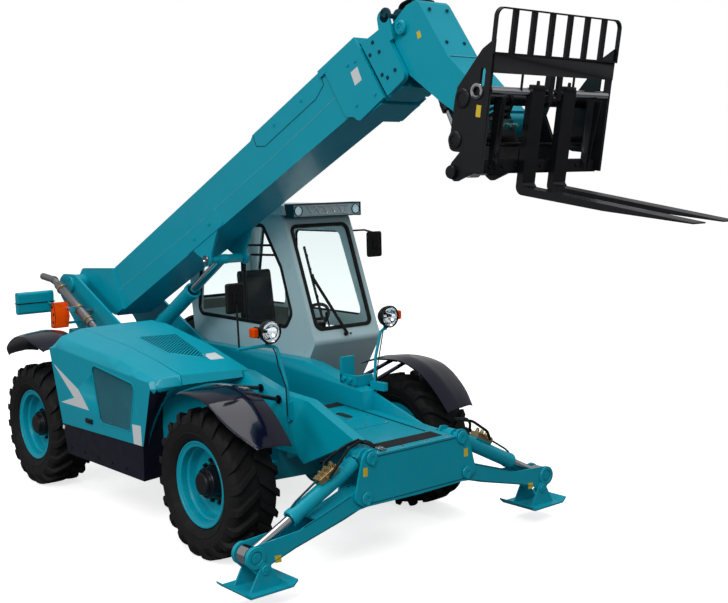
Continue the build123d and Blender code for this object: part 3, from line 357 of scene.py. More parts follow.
TEAL = Finish("teal_enamel", linear(0, 163, 186), "body_paint", shade=0.94, roughness=0.34, spread=0.05,
              specular=0.2, coat=0.12, coat_roughness=0.06, soil=0.08)
# A shaded copy of the teal: painted shade, used on plate outlines, recess sheets, weld beads, pipes, sheaves
# and bolts.
TEAL_SHADE = Finish("teal_shadow", linear(2, 66, 80), "body_paint", shade=0.8, roughness=0.5, specular=0.3)
CAB_PAINT = Finish("cab_enamel", linear(178, 208, 214), "cab_paint", shade=0.95, roughness=0.34, specular=0.4,
                   coat=0.25)
NAVY = Finish("navy_gloss", linear(10, 11, 36), "dark_paint", roughness=0.14, spread=0.04, specular=0.25,
              coat=0.4, coat_roughness=0.03, soil=0.04)
SKIRT = Finish("navy_satin", linear(20, 21, 38), "dark_paint", roughness=0.42, specular=0.25, soil=0.05)
BLACK = Finish("black_enamel", linear(16, 17, 22), "black_paint", roughness=0.4, specular=0.35, coat=0.1)
ENGINE = Finish("engine_casting", linear(52, 54, 56), "engine", roughness=0.65, relief=0.3)
INTERIOR = Finish("cab_trim", linear(38, 40, 42), "interior", roughness=0.75, relief=0.3, grain=420.0)
LINING = Finish("cab_lining", linear(118, 126, 120), "interior", roughness=0.85, relief=0.25, grain=380.0)
SEAT = Finish("seat_cloth", linear(30, 32, 36), "interior", roughness=0.9, relief=0.5, grain=620.0)
TANK = Finish("tank_enamel", linear(6, 112, 128), "tank_plastic", roughness=0.42, soil=0.15)
EXHAUST = Finish("exhaust_steel", linear(74, 70, 80), "exhaust_steel", roughness=0.42, metallic=0.55,
                 shade=0.6)
LAMP = Finish("lamp_plastic", linear(10, 11, 13), "lamp_housing", roughness=0.45, specular=0.3, relief=0.2,
              grain=500.0)
CHROME = Finish("chrome_rod", linear(205, 208, 212), "rod_chrome", roughness=0.1, spread=0.04, metallic=1.0,
                shade=0.92, relief=0.01)
REFLECTOR = Finish("lamp_reflector", linear(225, 228, 230), "rod_chrome", roughness=0.06, spread=0.03,
                   metallic=1.0, shade=0.9, relief=0.25, grain=70.0, depth=0.002)
BRASS = Finish("brass_fitting", linear(196, 172, 124), "rod_chrome", roughness=0.32, metallic=0.9, shade=0.7)
COUPLER = Finish("coupler_steel", linear(96, 150, 152), "rod_chrome", roughness=0.25, metallic=0.8, shade=0.6)
RUBBER = Finish("tyre_rubber", linear(18, 18, 19), "tyre", roughness=0.75, specular=0.3, spread=0.1,
                relief=0.4, grain=240.0, soil=0.12, soil_colour=(0.06, 0.053, 0.045))
SEAL = Finish("black_rubber", linear(9, 9, 11), "tyre", roughness=0.55, specular=0.3, relief=0.12,
              grain=320.0)
# Dark mesh for the vent's wires, also used as painted shade inside the exhaust's bore and the deck's slot.
MESH = Finish("dark_mesh", linear(8, 26, 32), "engine", roughness=0.7, relief=0.5, grain=300.0)
# Pale teal: painted highlight on weld ridges and folds.
TEAL_HIGHLIGHT = Finish("teal_edge", linear(104, 192, 204), "body_paint", shade=0.95, roughness=0.4)
# The grille's slats in a darker copy of the teal: painted shade between the slats.
GRILLE_SHADE = Finish("grille_slats", linear(5, 100, 116), "body_paint", shade=0.7, roughness=0.5)
GRIP = Finish("grip_strip", linear(22, 24, 27), "black_paint", roughness=0.95, relief=0.9, grain=900.0,
              depth=0.001)
WHITE_FILM = Finish("white_film", linear(226, 230, 232), "", shade=0.95, roughness=0.38, relief=0.02)
YELLOW_FILM = Finish("yellow_film", linear(226, 200, 48), "", shade=0.94, roughness=0.4, relief=0.02)
ORANGE = ClearFinish("orange_lens", linear(255, 96, 14), "", roughness=0.12, spread=0.06, clear=0.35,
                     relief=0.3, grain=120.0)
RED = ClearFinish("red_lens", linear(190, 14, 12), "", roughness=0.12, spread=0.05, clear=0.25, relief=0.3,
                  grain=120.0)
GLASS = ClearFinish("pane_glass", linear(242, 248, 248), "glass", roughness=0.015, spread=0.03, relief=0.01,
                    grain=30.0)
LENS = ClearFinish("lamp_lens", linear(240, 244, 246), "glass", roughness=0.03, spread=0.02, relief=0.12,
                   grain=160.0)


# ---------------------------------------------------------------- mesh making
# Corners nearer than this, in millimetres, are one.
MERGE = 0.01
# A bolt's washer and head, as parts of its width and height.
WASHER_WIDE, WASHER_TALL = 0.68, 0.25
HEAD_WIDE, HEAD_LOW, HEAD_BEVEL = 0.56, 0.2, 0.06
# Place of a plane's two coordinates and its level along an axis.
ORDER = {"X": lambda a, b, c: (c, a, b), "Y": lambda a, b, c: (a, c, b), "Z": lambda a, b, c: (a, b, c)}


class Shape:
    """A mesh under way, in millimetres in one of the machine's frames."""

    def __init__(self, place: Matrix = MACHINE, bm: Optional[bmesh.types.BMesh] = None) -> None:
        """Starts a shape.

        Args:
            place: Frame that the shape's millimetres are given in.
            bm: Mesh that it starts from, if it isn't empty.
        """
        self.place = place
        self.bm = bm or bmesh.new()

    def soften(self, verts: Iterable, width: float, segments: int = 2, limit: float = 25.0) -> None:
        """Bevels the sharp edges between corners.

        Args:
            verts: Corners whose edges are taken.
            width: Bevel width.
            segments: Steps across it.
            limit: Smallest angle that counts as sharp, in degrees.
        """
        if width <= 0:
            return
        wanted = set(verts)
        edges = {edge for vert in wanted for edge in vert.link_edges if edge.other_vert(vert) in wanted
                 and len(edge.link_faces) == 2 and edge.calc_face_angle(0.0) > math.radians(limit)}
        bmesh.ops.bevel(self.bm, geom=list(edges), offset=width, segments=segments, profile=0.5,
                        affect="EDGES", material=-1, clamp_overlap=True)

    def box(self, start: Place, end: Place, width: float = 3.0, segments: int = 2) -> None:
        """Box with softened edges.

        Args:
            start: One corner.
            end: The corner across from it.
            width: Bevel width.
            segments: Steps of the bevel.
        """
        low, high = Vector(map(min, start, end)), Vector(map(max, start, end))
        made = bmesh.ops.create_cube(self.bm, size=1.0)["verts"]
        move = Matrix.Translation((low + high) / 2) @ Matrix.Diagonal((*(high - low), 1.0))
        bmesh.ops.transform(self.bm, matrix=move, verts=made)
        self.soften(made, width, segments)

    def bar(self, start: Place, end: Place, radius: float, far_radius: Optional[float] = None,
            sides: int = 32, width: float = 0.0) -> None:
        """Round bar, cone or hexagon between two points.

        Args:
            start: Middle of its first end.
            end: Middle of its far end.
            radius: Radius at the start.
            far_radius: Radius at the far end, if it differs.
            sides: Number of sides.
            width: Bevel width of its rims.
        """
        start, end = Vector(start), Vector(end)
        way = end - start
        made = bmesh.ops.create_cone(
            self.bm, cap_ends=True, segments=sides, radius1=radius,
            radius2=radius if far_radius is None else far_radius, depth=way.length)["verts"]
        move = Matrix.Translation((start + end) / 2) @ way.to_track_quat("Z", "Y").to_matrix().to_4x4()
        bmesh.ops.transform(self.bm, matrix=move, verts=made)
        self.soften(made, width, limit=50.0)

    def beads(self, points: Sequence[Point], axis: str, level: float, radius: float) -> None:
        """Thin round bars along a line in a plane.

        Args:
            points: The line, in the plane across `axis`.
            axis: Axis across the plane.
            level: The plane's place on that axis.
            radius: Radius of the bars.
        """
        for start, end in zip(points, points[1:]):
            self.bar(ORDER[axis](*start, level), ORDER[axis](*end, level), radius, sides=8)

    def bolt(self, seat: Place, way: Place, across: float = 24.0, tall: float = 12.0) -> None:
        """Hexagon bolt head on its washer.

        Args:
            seat: Where it sits.
            way: Direction that it stands in.
            across: Width of the head.
            tall: Height of the head.
        """
        seat, way = Vector(seat), Vector(way).normalized()
        self.bar(seat, seat + way * tall * WASHER_TALL, across * WASHER_WIDE, sides=16)
        self.bar(seat + way * tall * HEAD_LOW, seat + way * tall, across * HEAD_WIDE, sides=6,
                 width=across * HEAD_BEVEL)

    def bolts(self, points: Sequence[Point], axis: str, level: float, out: int, across: float,
              tall: float) -> None:
        """Hexagon bolt heads on a flat face.

        Args:
            points: Their places in the plane across `axis`.
            axis: Axis across the face.
            level: The face's place on that axis.
            out: 1 where they stand up the axis, -1 where they stand down it.
            across: Width of the heads.
            tall: Height of the heads.
        """
        for point in points:
            self.bolt(ORDER[axis](*point, level), ORDER[axis](0, 0, out), across, tall)

    def bent(self, draw: Callable[[], object], bend: Callable[[Vector], Vector]) -> None:
        """Moves every corner that a step draws.

        Args:
            draw: The step.
            bend: Gives a corner's new place.
        """
        before = set(self.bm.verts)
        draw()
        for vert in set(self.bm.verts) - before:
            vert.co = bend(vert.co)

    def plate(self, points: Sequence[Point], axis: str, low: float, high: float, width: float = 3.0,
              segments: int = 2) -> list:
        """Flat plate of an outline.

        Args:
            points: Outline in the plane across `axis`: (x, z), (y, z) or (x, y).
            axis: Axis of the plate's thickness.
            low: First face along the axis.
            high: Second face along the axis.
            width: Bevel width.
            segments: Steps of the bevel.

        Returns:
            The plate's corners before softening.
        """
        corners = [self.bm.verts.new(ORDER[axis](a, b, low)) for a, b in points]
        face = self.bm.faces.new(corners)
        made = bmesh.ops.extrude_face_region(self.bm, geom=[face])["geom"]
        far = [item for item in made if isinstance(item, bmesh.types.BMVert)]
        bmesh.ops.translate(self.bm, vec=Vector(ORDER[axis](0.0, 0.0, high - low)), verts=far)
        faces = {f for vert in corners + far for f in vert.link_faces}
        bmesh.ops.recalc_face_normals(self.bm, faces=list(faces))
        self.soften(corners + far, width, segments)
        return corners + far

    def frame(self, points: Sequence[Point], width: float, axis: str, low: float, high: float,
              bevel: float = 0.0) -> None:
        """Flat ring of even width along a closed outline.

        Args:
            points: Outline along the ring's middle.
            width: Width of the ring.
            axis: Axis of its thickness.
            low: First face along the axis.
            high: Second face along the axis.
            bevel: Bevel width.
        """
        count = len(points)
        loops = []
        for shift in (-width / 2, width / 2):
            moved = []
            for number, point in enumerate(points):
                here = Vector(point)
                back = (here - Vector(points[number - 1])).normalized()
                ahead = (Vector(points[(number + 1) % count]) - here).normalized()
                normal = Vector((back.y + ahead.y, -back.x - ahead.x)).normalized()
                moved.append(here + normal * (shift / max(normal.dot(Vector((back.y, -back.x))), 0.4)))
            for level in (low, high):
                loops.append([self.bm.verts.new(ORDER[axis](spot.x, spot.y, level)) for spot in moved])
        ring = (loops[0], loops[1], loops[3], loops[2])
        made = [self.bm.faces.new((first[n], first[(n + 1) % count], second[(n + 1) % count], second[n]))
                for first, second in zip(ring, ring[1:] + ring[:1]) for n in range(count)]
        bmesh.ops.recalc_face_normals(self.bm, faces=made)
        self.soften([vert for loop in loops for vert in loop], bevel, limit=40.0)

    def turned(self, profile: Sequence[Point], centre: Place, way: Place, sides: int = 64,
               closed: bool = True) -> None:
        """Shape turned about an axis.

        Args:
            profile: Radius and height pairs.
            centre: A point on the axis, at height 0.
            way: Direction of the axis.
            sides: Steps of the full turn.
            closed: Whether the profile is a closed ring.
        """
        corners = [self.bm.verts.new((radius, 0.0, height)) for radius, height in profile]
        pairs = list(zip(corners, corners[1:])) + ([(corners[-1], corners[0])] if closed else [])
        edges = [self.bm.edges.new(pair) for pair in pairs]
        before = set(self.bm.verts) - set(corners)
        bmesh.ops.spin(self.bm, geom=corners + edges, cent=(0, 0, 0), axis=(0, 0, 1), angle=math.tau,
                       steps=sides, use_merge=True)
        made = [vert for vert in self.bm.verts if vert not in before]
        bmesh.ops.remove_doubles(self.bm, verts=made, dist=MERGE)
        made = [vert for vert in self.bm.verts if vert not in before]
        bmesh.ops.recalc_face_normals(self.bm, faces=list({f for v in made for f in v.link_faces}))
        turn = Vector(way).to_track_quat("Z", "Y").to_matrix().to_4x4()
        bmesh.ops.transform(self.bm, matrix=Matrix.Translation(centre) @ turn, verts=made)

    def tube(self, path: Sequence[Place], radius: float, bend: float = 40.0, sides: int = 4) -> None:
        """Round tube or hose along straight runs with rounded bends.

        Args:
            path: Points of its line.
            radius: Its radius.
            bend: How far before and after a corner the bend reaches.
            sides: Quarter-turn steps of its section.
        """
        points = [Vector(path[0])]
        for before, corner, after in zip(path, path[1:], path[2:]):
            corner = Vector(corner)
            for other in (Vector(before), None, Vector(after)):
                if other is None:
                    points.append(corner)
                    continue
                way = other - corner
                points.append(corner + way.normalized() * min(bend, way.length * 0.45))
        points.append(Vector(path[-1]))
        curve = bpy.data.curves.new("run", "CURVE")
        curve.dimensions = "3D"
        curve.bevel_depth = radius
        curve.bevel_resolution = sides
        curve.use_fill_caps = True
        line = curve.splines.new("NURBS")
        line.points.add(len(points) - 1)
        for slot, point in zip(line.points, points):
            slot.co = (*point, 1.0)
        line.order_u = 3
        line.use_endpoint_u = True
        line.resolution_u = 4
        holder = bpy.data.objects.new("run", curve)
        bpy.context.scene.collection.objects.link(holder)
        graph = bpy.context.evaluated_depsgraph_get()
        mesh = bpy.data.meshes.new_from_object(holder.evaluated_get(graph))
        self.bm.from_mesh(mesh)
        bpy.data.objects.remove(holder)
        bpy.data.meshes.remove(mesh)

    def mirror(self) -> None:
        """Adds the shape's mirror image across the machine's centre line."""
        copy = bmesh.ops.duplicate(self.bm,
                                   geom=list(self.bm.verts) + list(self.bm.edges) + list(self.bm.faces))
        verts = [item for item in copy["geom"] if isinstance(item, bmesh.types.BMVert)]
        faces = [item for item in copy["geom"] if isinstance(item, bmesh.types.BMFace)]
        bmesh.ops.scale(self.bm, vec=(1.0, -1.0, 1.0), verts=verts)
        bmesh.ops.reverse_faces(self.bm, faces=faces)

    def piece(self, name: str, finish: Finish, body: str, replaces: Sequence[str] = (),
              crease: float = 32.0) -> bpy.types.Object:
        """Turns the shape into a piece that rides on a body.

        Args:
            name: The piece's name.
            finish: Its finish.
            body: CAD body that carries it.
            replaces: CAD nodes that it stands for.
            crease: Angle in degrees past which an edge stays sharp.

        Returns:
            The piece.
        """
        bmesh.ops.transform(self.bm, matrix=self.place, verts=self.bm.verts)
        mesh = bpy.data.meshes.new(name)
        self.bm.to_mesh(mesh)
        self.bm.free()
        mesh.polygons.foreach_set("use_smooth", [True] * len(mesh.polygons))
        mesh.set_sharp_from_angle(angle=math.radians(crease))
        mesh.materials.append(finish.material())
        piece = bpy.data.objects.new(name, mesh)
        bpy.context.scene.collection.objects.link(piece)
        piece.modifiers.new("even_normals", "WEIGHTED_NORMAL").keep_sharp = True
        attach(piece, body)
        if replaces:
            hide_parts(*replaces)
        return piece


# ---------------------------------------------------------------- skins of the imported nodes
def merged_copy(frame: dict, node: str) -> bmesh.types.BMesh:
    """A CAD node's mesh with its doubled corners merged and its flat faces joined.

    Args:
        frame: The loaded frame.
        node: The CAD node.

    Returns:
        The copy, in millimetres from the front axle.
    """
    bm = bmesh.new()
    bm.from_mesh(frame["nodes"][node].data)
    bmesh.ops.transform(bm, matrix=MACHINE.inverted(), verts=bm.verts)
    bmesh.ops.remove_doubles(bm, verts=bm.verts, dist=MERGE)
    bmesh.ops.dissolve_limit(bm, angle_limit=math.radians(0.6), verts=bm.verts, edges=bm.edges)
    return bm


def round_edges(bm: bmesh.types.BMesh, width: float, shortest: float = 60.0, sharpest: float = 35.0) -> None:
    """Rounds the long sharp edges of a merged copy.

    Args:
        bm: The copy.
        width: Width of the rounding.
        shortest: Shortest edge that is rounded.
        sharpest: Smallest angle between its faces, in degrees.
    """
    if width <= 0:
        return
    edges = [edge for edge in bm.edges if len(edge.link_faces) == 2 and edge.calc_length() > shortest
             and edge.calc_face_angle(0.0) > math.radians(sharpest)
             and min(face.calc_area() for face in edge.link_faces) > 12.0 * width * shortest]
    bmesh.ops.bevel(bm, geom=edges, offset=width, segments=2, profile=0.5, affect="EDGES", material=-1,
                    clamp_overlap=True)


def inside(outline: Sequence[Point], first: float, second: float) -> bool:
    """Whether a point lies in a flat outline."""
    hits = 0
    for (a, b), (c, d) in zip(outline, [*outline[1:], outline[0]]):
        if (b > second) != (d > second) and first < a + (second - b) * (c - a) / (d - b):
            hits += 1
    return hits % 2 == 1


def rounded(points: Sequence[Point], radius: float, steps: int = 6) -> list[Point]:
    """Outline whose corners are arcs.

    Args:
        points: Corners of a closed outline.
        radius: Radius of every corner.
        steps: Steps of each arc.

    Returns:
        The rounded outline.
    """
    made: list[Point] = []
    for number, corner in enumerate(points):
        here = Vector(corner)
        back = (Vector(points[number - 1]) - here).normalized()
        ahead = (Vector(points[(number + 1) % len(points)]) - here).normalized()
        half = back.angle(ahead) / 2
        reach = radius / math.tan(half)
        middle = here + (back + ahead).normalized() * (radius / math.sin(half))
        start, end = here + back * reach - middle, here + ahead * reach - middle
        turn = start.angle_signed(end)
        for step in range(steps + 1):
            angle = -turn * step / steps
            spot = middle + Vector((start.x * math.cos(angle) - start.y * math.sin(angle),
                                    start.x * math.sin(angle) + start.y * math.cos(angle)))
            made.append((spot.x, spot.y))
    return made


def block(low: Point, high: Point, radius: float = 0.0) -> list[Point]:
    """Rectangle between two corners, with round corners where a radius is given."""
    (a, b), (c, d) = low, high
    corners = [(a, b), (c, b), (c, d), (a, d)]
    return rounded(corners, radius) if radius else corners


def circle(count: int, radius: float, centre: Point = (0.0, 0.0), first: float = 0.0) -> list[Point]:
    """Places spread evenly round a circle.

    Args:
        count: How many.
        radius: The circle's radius.
        centre: Its middle.
        first: Angle of the first place, in radians.

    Returns:
        The places.
    """
    turns = [first + math.tau * n / count for n in range(count)]
    return [(centre[0] + radius * math.cos(turn), centre[1] + radius * math.sin(turn)) for turn in turns]


# ---------------------------------------------------------------- sub-assemblies
# A lamp's turned parts, drawn at this radius: name, finish, radius and depth pairs, whether a closed ring.
LAMP_RADIUS = 94.0
LAMP_PARTS = (
    ("housing", LAMP, ((0, -48), (40, -48), (58, -40), (80, -8), (92, 30), (94, 58), (91, 63), (86, 62),
                       (84, 50),
                       (82, 40)), False),
    ("reflector", REFLECTOR, ((83, 46), (76, 28), (60, 10), (40, -4), (20, -12), (9, -14), (9, 8), (0, 9)),
     False),
    ("lens", LENS, ((0, 64), (30, 63), (60, 59), (84, 53), (84, 50), (60, 56), (30, 60), (0, 61)), True),
)


@dataclass
class Assembly:
    """A sub-assembly that starts its pieces one by one and finishes them together."""

    frame: dict
    home: ClassVar[Matrix] = MACHINE
    body: ClassVar[str] = "chassis"

    def __post_init__(self) -> None:
        """Starts with no piece."""
        self.started: list[tuple] = []

    def build(self) -> None:
        """Draws the sub-assembly's pieces."""
        raise NotImplementedError

    def new(self, name: str, finish: Finish, body: str = "", mirrored: bool = False,
            place: Optional[Matrix] = None, replaces: Sequence[str] = (), crease: float = 32.0) -> Shape:
        """Starts a piece.

        Args:
            name: Its name.
            finish: Its finish.
            body: CAD body that carries it, if not the assembly's own.
            mirrored: Whether its mirror image across the machine is added.
            place: Frame of its millimetres, if not the assembly's own.
            replaces: CAD nodes that it stands for.
            crease: Angle in degrees past which an edge stays sharp.

        Returns:
            The shape to draw in.
        """
        shape = Shape(place or self.home)
        self.started.append((shape, mirrored, name, finish, body or self.body, replaces, crease))
        return shape

    def fit(self) -> None:
        """Builds the sub-assembly and turns what it started into pieces."""
        self.build()
        for shape, mirrored, *settings in self.started:
            if mirrored:
                shape.mirror()
            shape.piece(*settings)

    def skin(self, node: str, finish: Finish, width: float = 0.0,
             parts: Sequence[tuple[str, Optional[Finish], Callable[[Vector], bool]]] = ()) -> None:
        """Adds smooth-shaded copies of a CAD node that stand for it.

        Args:
            node: The CAD node.
            finish: Its finish.
            width: Rounding of its long edges.
            parts: Name, finish and test of the faces' middles, for stretches with a finish of their own.
        """
        bm = merged_copy(self.frame, node)
        round_edges(bm, width)
        own = [(name, look, lambda face, test=test: test(face.calc_center_median())) for name, look,
               test in parts]
        self.split(bm, node, [*own, (f"{node}_skin", finish, lambda face: True)])

    def split(self, bm: bmesh.types.BMesh, node: str, parts: Sequence[tuple[str, Optional[Finish],
                                                                            Callable[[bmesh.types.BMFace],
                                                                                     bool]]]) -> None:
        """Turns a merged copy into pieces that stand for its node together.

        Args:
            bm: The copy.
            node: The CAD node.
            parts: Name, finish and test of each piece. A face goes to the first that takes it, and a
                part without a finish is left out.
        """
        owners = [next(n for n, part in enumerate(parts) if part[2](face)) for face in bm.faces]
        for number, (name, finish, _) in enumerate(parts):
            if finish is None or number not in owners:
                continue
            piece = Shape(MACHINE, bm.copy())
            away = [face for face, owner in zip(piece.bm.faces, owners) if owner != number]
            bmesh.ops.delete(piece.bm, geom=away, context="FACES")
            piece.piece(name, finish, self.frame["nodes"][node]["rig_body"], [node])
        bm.free()

    def flat(self, name: str, finish: Finish, points: Sequence[Point], axis: str, low: float, high: float,
             body: str = "") -> None:
        """Adds a thin flat piece, such as a label.

        Args:
            name: Its name.
            finish: Its finish.
            points: Its outline in the plane across `axis`.
            axis: Axis of its thickness.
            low: First face along the axis.
            high: Second face along the axis.
            body: CAD body that carries it, if not the assembly's own.
        """
        self.new(name, finish, body).plate(points, axis, low, high, 0)

    def lamp(self, name: str, centre: Place, radius: float) -> None:
        """Adds a round lamp that faces forward: housing, reflector and lens.

        Args:
            name: Name of its pieces.
            centre: Middle of its rim, less a third of its depth.
            radius: Its outer radius.
        """
        for part, finish, profile, closed in LAMP_PARTS:
            points = [(a * radius / LAMP_RADIUS, b * radius / LAMP_RADIUS) for a, b in profile]
            self.new(f"{name}_{part}", finish).turned(points, centre, (1, 0, 0), 48, closed)


# ---------------------------------------------------------------- mudguards
def flowing(points: Sequence[Place], steps: int) -> list[Vector]:
    """Smooth line through a few points.

    Args:
        points: Points that the line passes through.
        steps: Steps between two of them.

    Returns:
        The line's points.
    """
    ends = [Vector(points[0]) * 2 - Vector(points[1]), *map(Vector, points),
            Vector(points[-1]) * 2 - Vector(points[-2])]
    made = []
    for before, start, end, after in zip(ends, ends[1:], ends[2:], ends[3:]):
        for step in range(steps):
            t = step / steps
            square = (2 * before - 5 * start + 4 * end - after) * t ** 2
            cube = (3 * start - before - 3 * end + after) * t ** 3
            made.append(0.5 * (2 * start + (end - before) * t + square + cube))
    return made + [Vector(points[-1])]


@dataclass
class Mudguards(Assembly):
    """Glossy rounded mudguards with their rolled edges and clamps."""

    front_ridge: Run = ((-400, 945, 1262), (-200, 945, 1318), (54, 945, 1340), (210, 945, 1318),
                        (340, 945, 1272), (460, 945, 1200), (580, 945, 1095), (700, 945, 972))
    front_edge: Run = ((-345, 1170, 1232), (-180, 1216, 1288), (10, 1220, 1292), (190, 1220, 1266),
                       (300, 1220, 1222), (405, 1212, 1157), (540, 1175, 1072), (690, 1100, 972))
    rear_ridge: Run = ((-3700, 945, 1230), (-3560, 945, 1350), (-3350, 945, 1450), (-3150, 945, 1480),
                       (-2980, 945, 1470), (-2820, 945, 1430), (-2705, 945, 1375))
    rear_edge: Run = ((-3675, 1120, 1205), (-3520, 1200, 1310), (-3310, 1220, 1415), (-3120, 1220, 1450),
                      (-2980, 1220, 1440), (-2850, 1214, 1405), (-2705, 1180, 1345))
    inner_y: float = 800.0
    ridge_y: float = 945.0
    sheet: float = 8.0
    steps: int = 6
    section: Line = ((-1.0, 20.0), (-0.55, 6.5), (-0.2, 1.2), (0.0, 0.0), (0.12, 1.2), (0.34, -3.0),
                     (0.62, -5.0), (0.86, -3.0), (0.97, 0.0), (1.0, 5.0))
    clamps: Line = ((-60, 1318), (120, 1316), (-3400, 1410), (-2950, 1446))

    def build(self) -> None:
        """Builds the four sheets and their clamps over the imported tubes."""
        for node, ridge, edge in (("front_fenders", self.front_ridge, self.front_edge),
                                  ("rear_fenders", self.rear_ridge, self.rear_edge)):
            self.skin(node, NAVY, 0.0, [("sheets", None, lambda p: abs(p.y) > 850)])
            sheets = self.new(f"{node}_sheets", NAVY, mirrored=True, replaces=[node], crease=50.0)
            self.add_sheet(sheets, flowing(ridge, self.steps), flowing(edge, self.steps))
        self.add_clamps()

    def add_sheet(self, shape: Shape, ridge: Sequence[Vector], edge: Sequence[Vector]) -> None:
        """Adds one sheet that falls from its ridge to both sides, with a rolled outer edge.

        Args:
            shape: Shape that takes it.
            ridge: The ridge's line.
            edge: The outer edge's line.
        """
        rows = []
        for part, sink in self.section:
            inward = Vector((0, min(part, 0.0) * (self.ridge_y - self.inner_y), -sink))
            rows.append([top + (rim - top) * max(part, 0.0) + inward for top, rim in zip(ridge, edge)])
        top = [[shape.bm.verts.new(spot) for spot in row] for row in rows]
        low = [[shape.bm.verts.new((x, y, z - self.sheet)) for x, y, z in row] for row in rows]
        last = len(ridge) - 1
        faces = []
        for sheet in (top, low):
            for one, two in zip(sheet, sheet[1:]):
                faces += [shape.bm.faces.new((one[n], one[n + 1], two[n + 1], two[n])) for n in range(last)]
        for one, two in ((top[0], low[0]), (top[-1], low[-1])):
            faces += [shape.bm.faces.new((one[n], one[n + 1], two[n + 1], two[n])) for n in range(last)]
        for column in (0, last):
            for above, under in zip(zip(top, top[1:]), zip(low, low[1:])):
                faces.append(shape.bm.faces.new((above[0][column], above[1][column], under[1][column],
                                                 under[0][column])))
        bmesh.ops.recalc_face_normals(shape.bm, faces=faces)
        for one, two in zip(rows[-1], rows[-1][1:]):
            shape.bar((one[0], one[1] - 2, one[2] - 5), (two[0], two[1] - 2, two[2] - 5), 5.5, sides=10)

    def add_clamps(self) -> None:
        """Adds the clamps and bolts under the sheets."""
        clamps = self.new("mudguard_clamps", BLACK)
        for x, z in self.clamps:
            for side in Side:
                y, out = side.value * self.ridge_y, side.value
                clamps.box((x - 22, y, z - 34), (x + 22, y - out * 60, z - 24), 2)
                clamps.bolts([(x - 14, y - out * 40), (x + 14, y - out * 40)], "Z", z - 34, -1, 16, 9)


# ---------------------------------------------------------------- engine cover
@dataclass
class EnginePod(Assembly):
    """Engine cover: rounded shell, dark skirt, grille, arrow stripe, latch and labels."""

    wall: float = -1180.0
    skirt_line: tuple[Point, Point] = ((-2371, 700), (-847, 737))
    grille: Line = ((-1595, 826), (-1058, 830), (-955, 1243), (-1735, 1330))
    grille_band: Point = (-1178.0, -1154.0)
    front_low: Place = (-930.0, -960.0, 1215.0)
    arrow: Line = ((-2492, 1243), (-2006, 1067), (-1809, 903), (-2379, 903), (-2093, 978))
    label: Line = ((-1025, 901), (-1008, 738), (-872, 740), (-879, 908))
    plug: Line = ((0, 0), (20, 0), (20, 5), (14, 8), (11, 5), (0, 5))

    def is_slat(self, face: bmesh.types.BMFace) -> bool:
        """Whether a face belongs to the grille's slats."""
        middle = face.calc_center_median()
        low, high = self.grille_band
        return low < middle.y < high and inside(self.grille, middle.x, middle.z)

    def is_skirt(self, face: bmesh.types.BMFace) -> bool:
        """Whether a face lies below the skirt's upper line or on the dark low front."""
        middle = face.calc_center_median()
        (ax, az), (bx, bz) = self.skirt_line
        front, side, top = self.front_low
        return (middle.z < az + (middle.x - ax) * (bz - az) / (bx - ax)
                or (middle.x > front and middle.y < side and face.normal.x > 0.8 and middle.z < top))

    def build(self) -> None:
        """Builds the shell in its three finishes and everything on its side."""
        bm = merged_copy(self.frame, "engine_pod")
        (ax, az), (bx, bz) = self.skirt_line
        bmesh.ops.bisect_plane(bm, geom=list(bm.verts) + list(bm.edges) + list(bm.faces), dist=MERGE,
                               plane_co=(ax, 0, az), plane_no=(az - bz, 0, bx - ax))
        round_edges(bm, 20.0, 90.0, 24.0)
        # The slats take the darker teal: painted shade.
        self.split(bm, "engine_pod", [("pod_grille_slats", GRILLE_SHADE, self.is_slat),
                                      ("pod_skirt", SKIRT, self.is_skirt),
                                      ("pod_shell", TEAL, lambda face: True)])
        y = self.wall
        self.new("pod_grille_frame", TEAL).frame(rounded(self.grille, 55), 12.0, "Y", y - 5, y + 3, 3.0)
        # Sheet in the shaded teal behind the grille: painted shade in the grille's recess.
        self.flat("pod_grille_backing", TEAL_SHADE, rounded(self.grille, 45), "Y", y + 26, y + 28)
        self.flat("pod_arrow_stripe", WHITE_FILM, self.arrow, "Y", y - 1.2, y + 0.5)
        self.flat("pod_label", WHITE_FILM, self.label, "Y", y - 1.4, y + 0.5)
        self.new("pod_skirt_seam", SEAL).tube([(ax, y - 1, az), (bx, y - 1, bz)], 4.0)
        latch = self.new("pod_latch", BLACK)
        latch.box((-1873, y - 14, 786), (-1745, y + 1, 830), 6)
        latch.box((-1858, y - 22, 800), (-1790, y - 12, 818), 4)
        latch.bar((-1768, y - 18, 808), (-1768, y - 10, 808), 11, width=2)
        self.new("pod_plug", WHITE_FILM).turned(self.plug, (-2338, y, 673), (0, -1, 0), 32, False)
        self.new("pod_skirt_bolts", BLACK).bolts([(x, 500) for x in range(-2200, -900, 260)], "Y", y, -1, 18,
                                                 8)


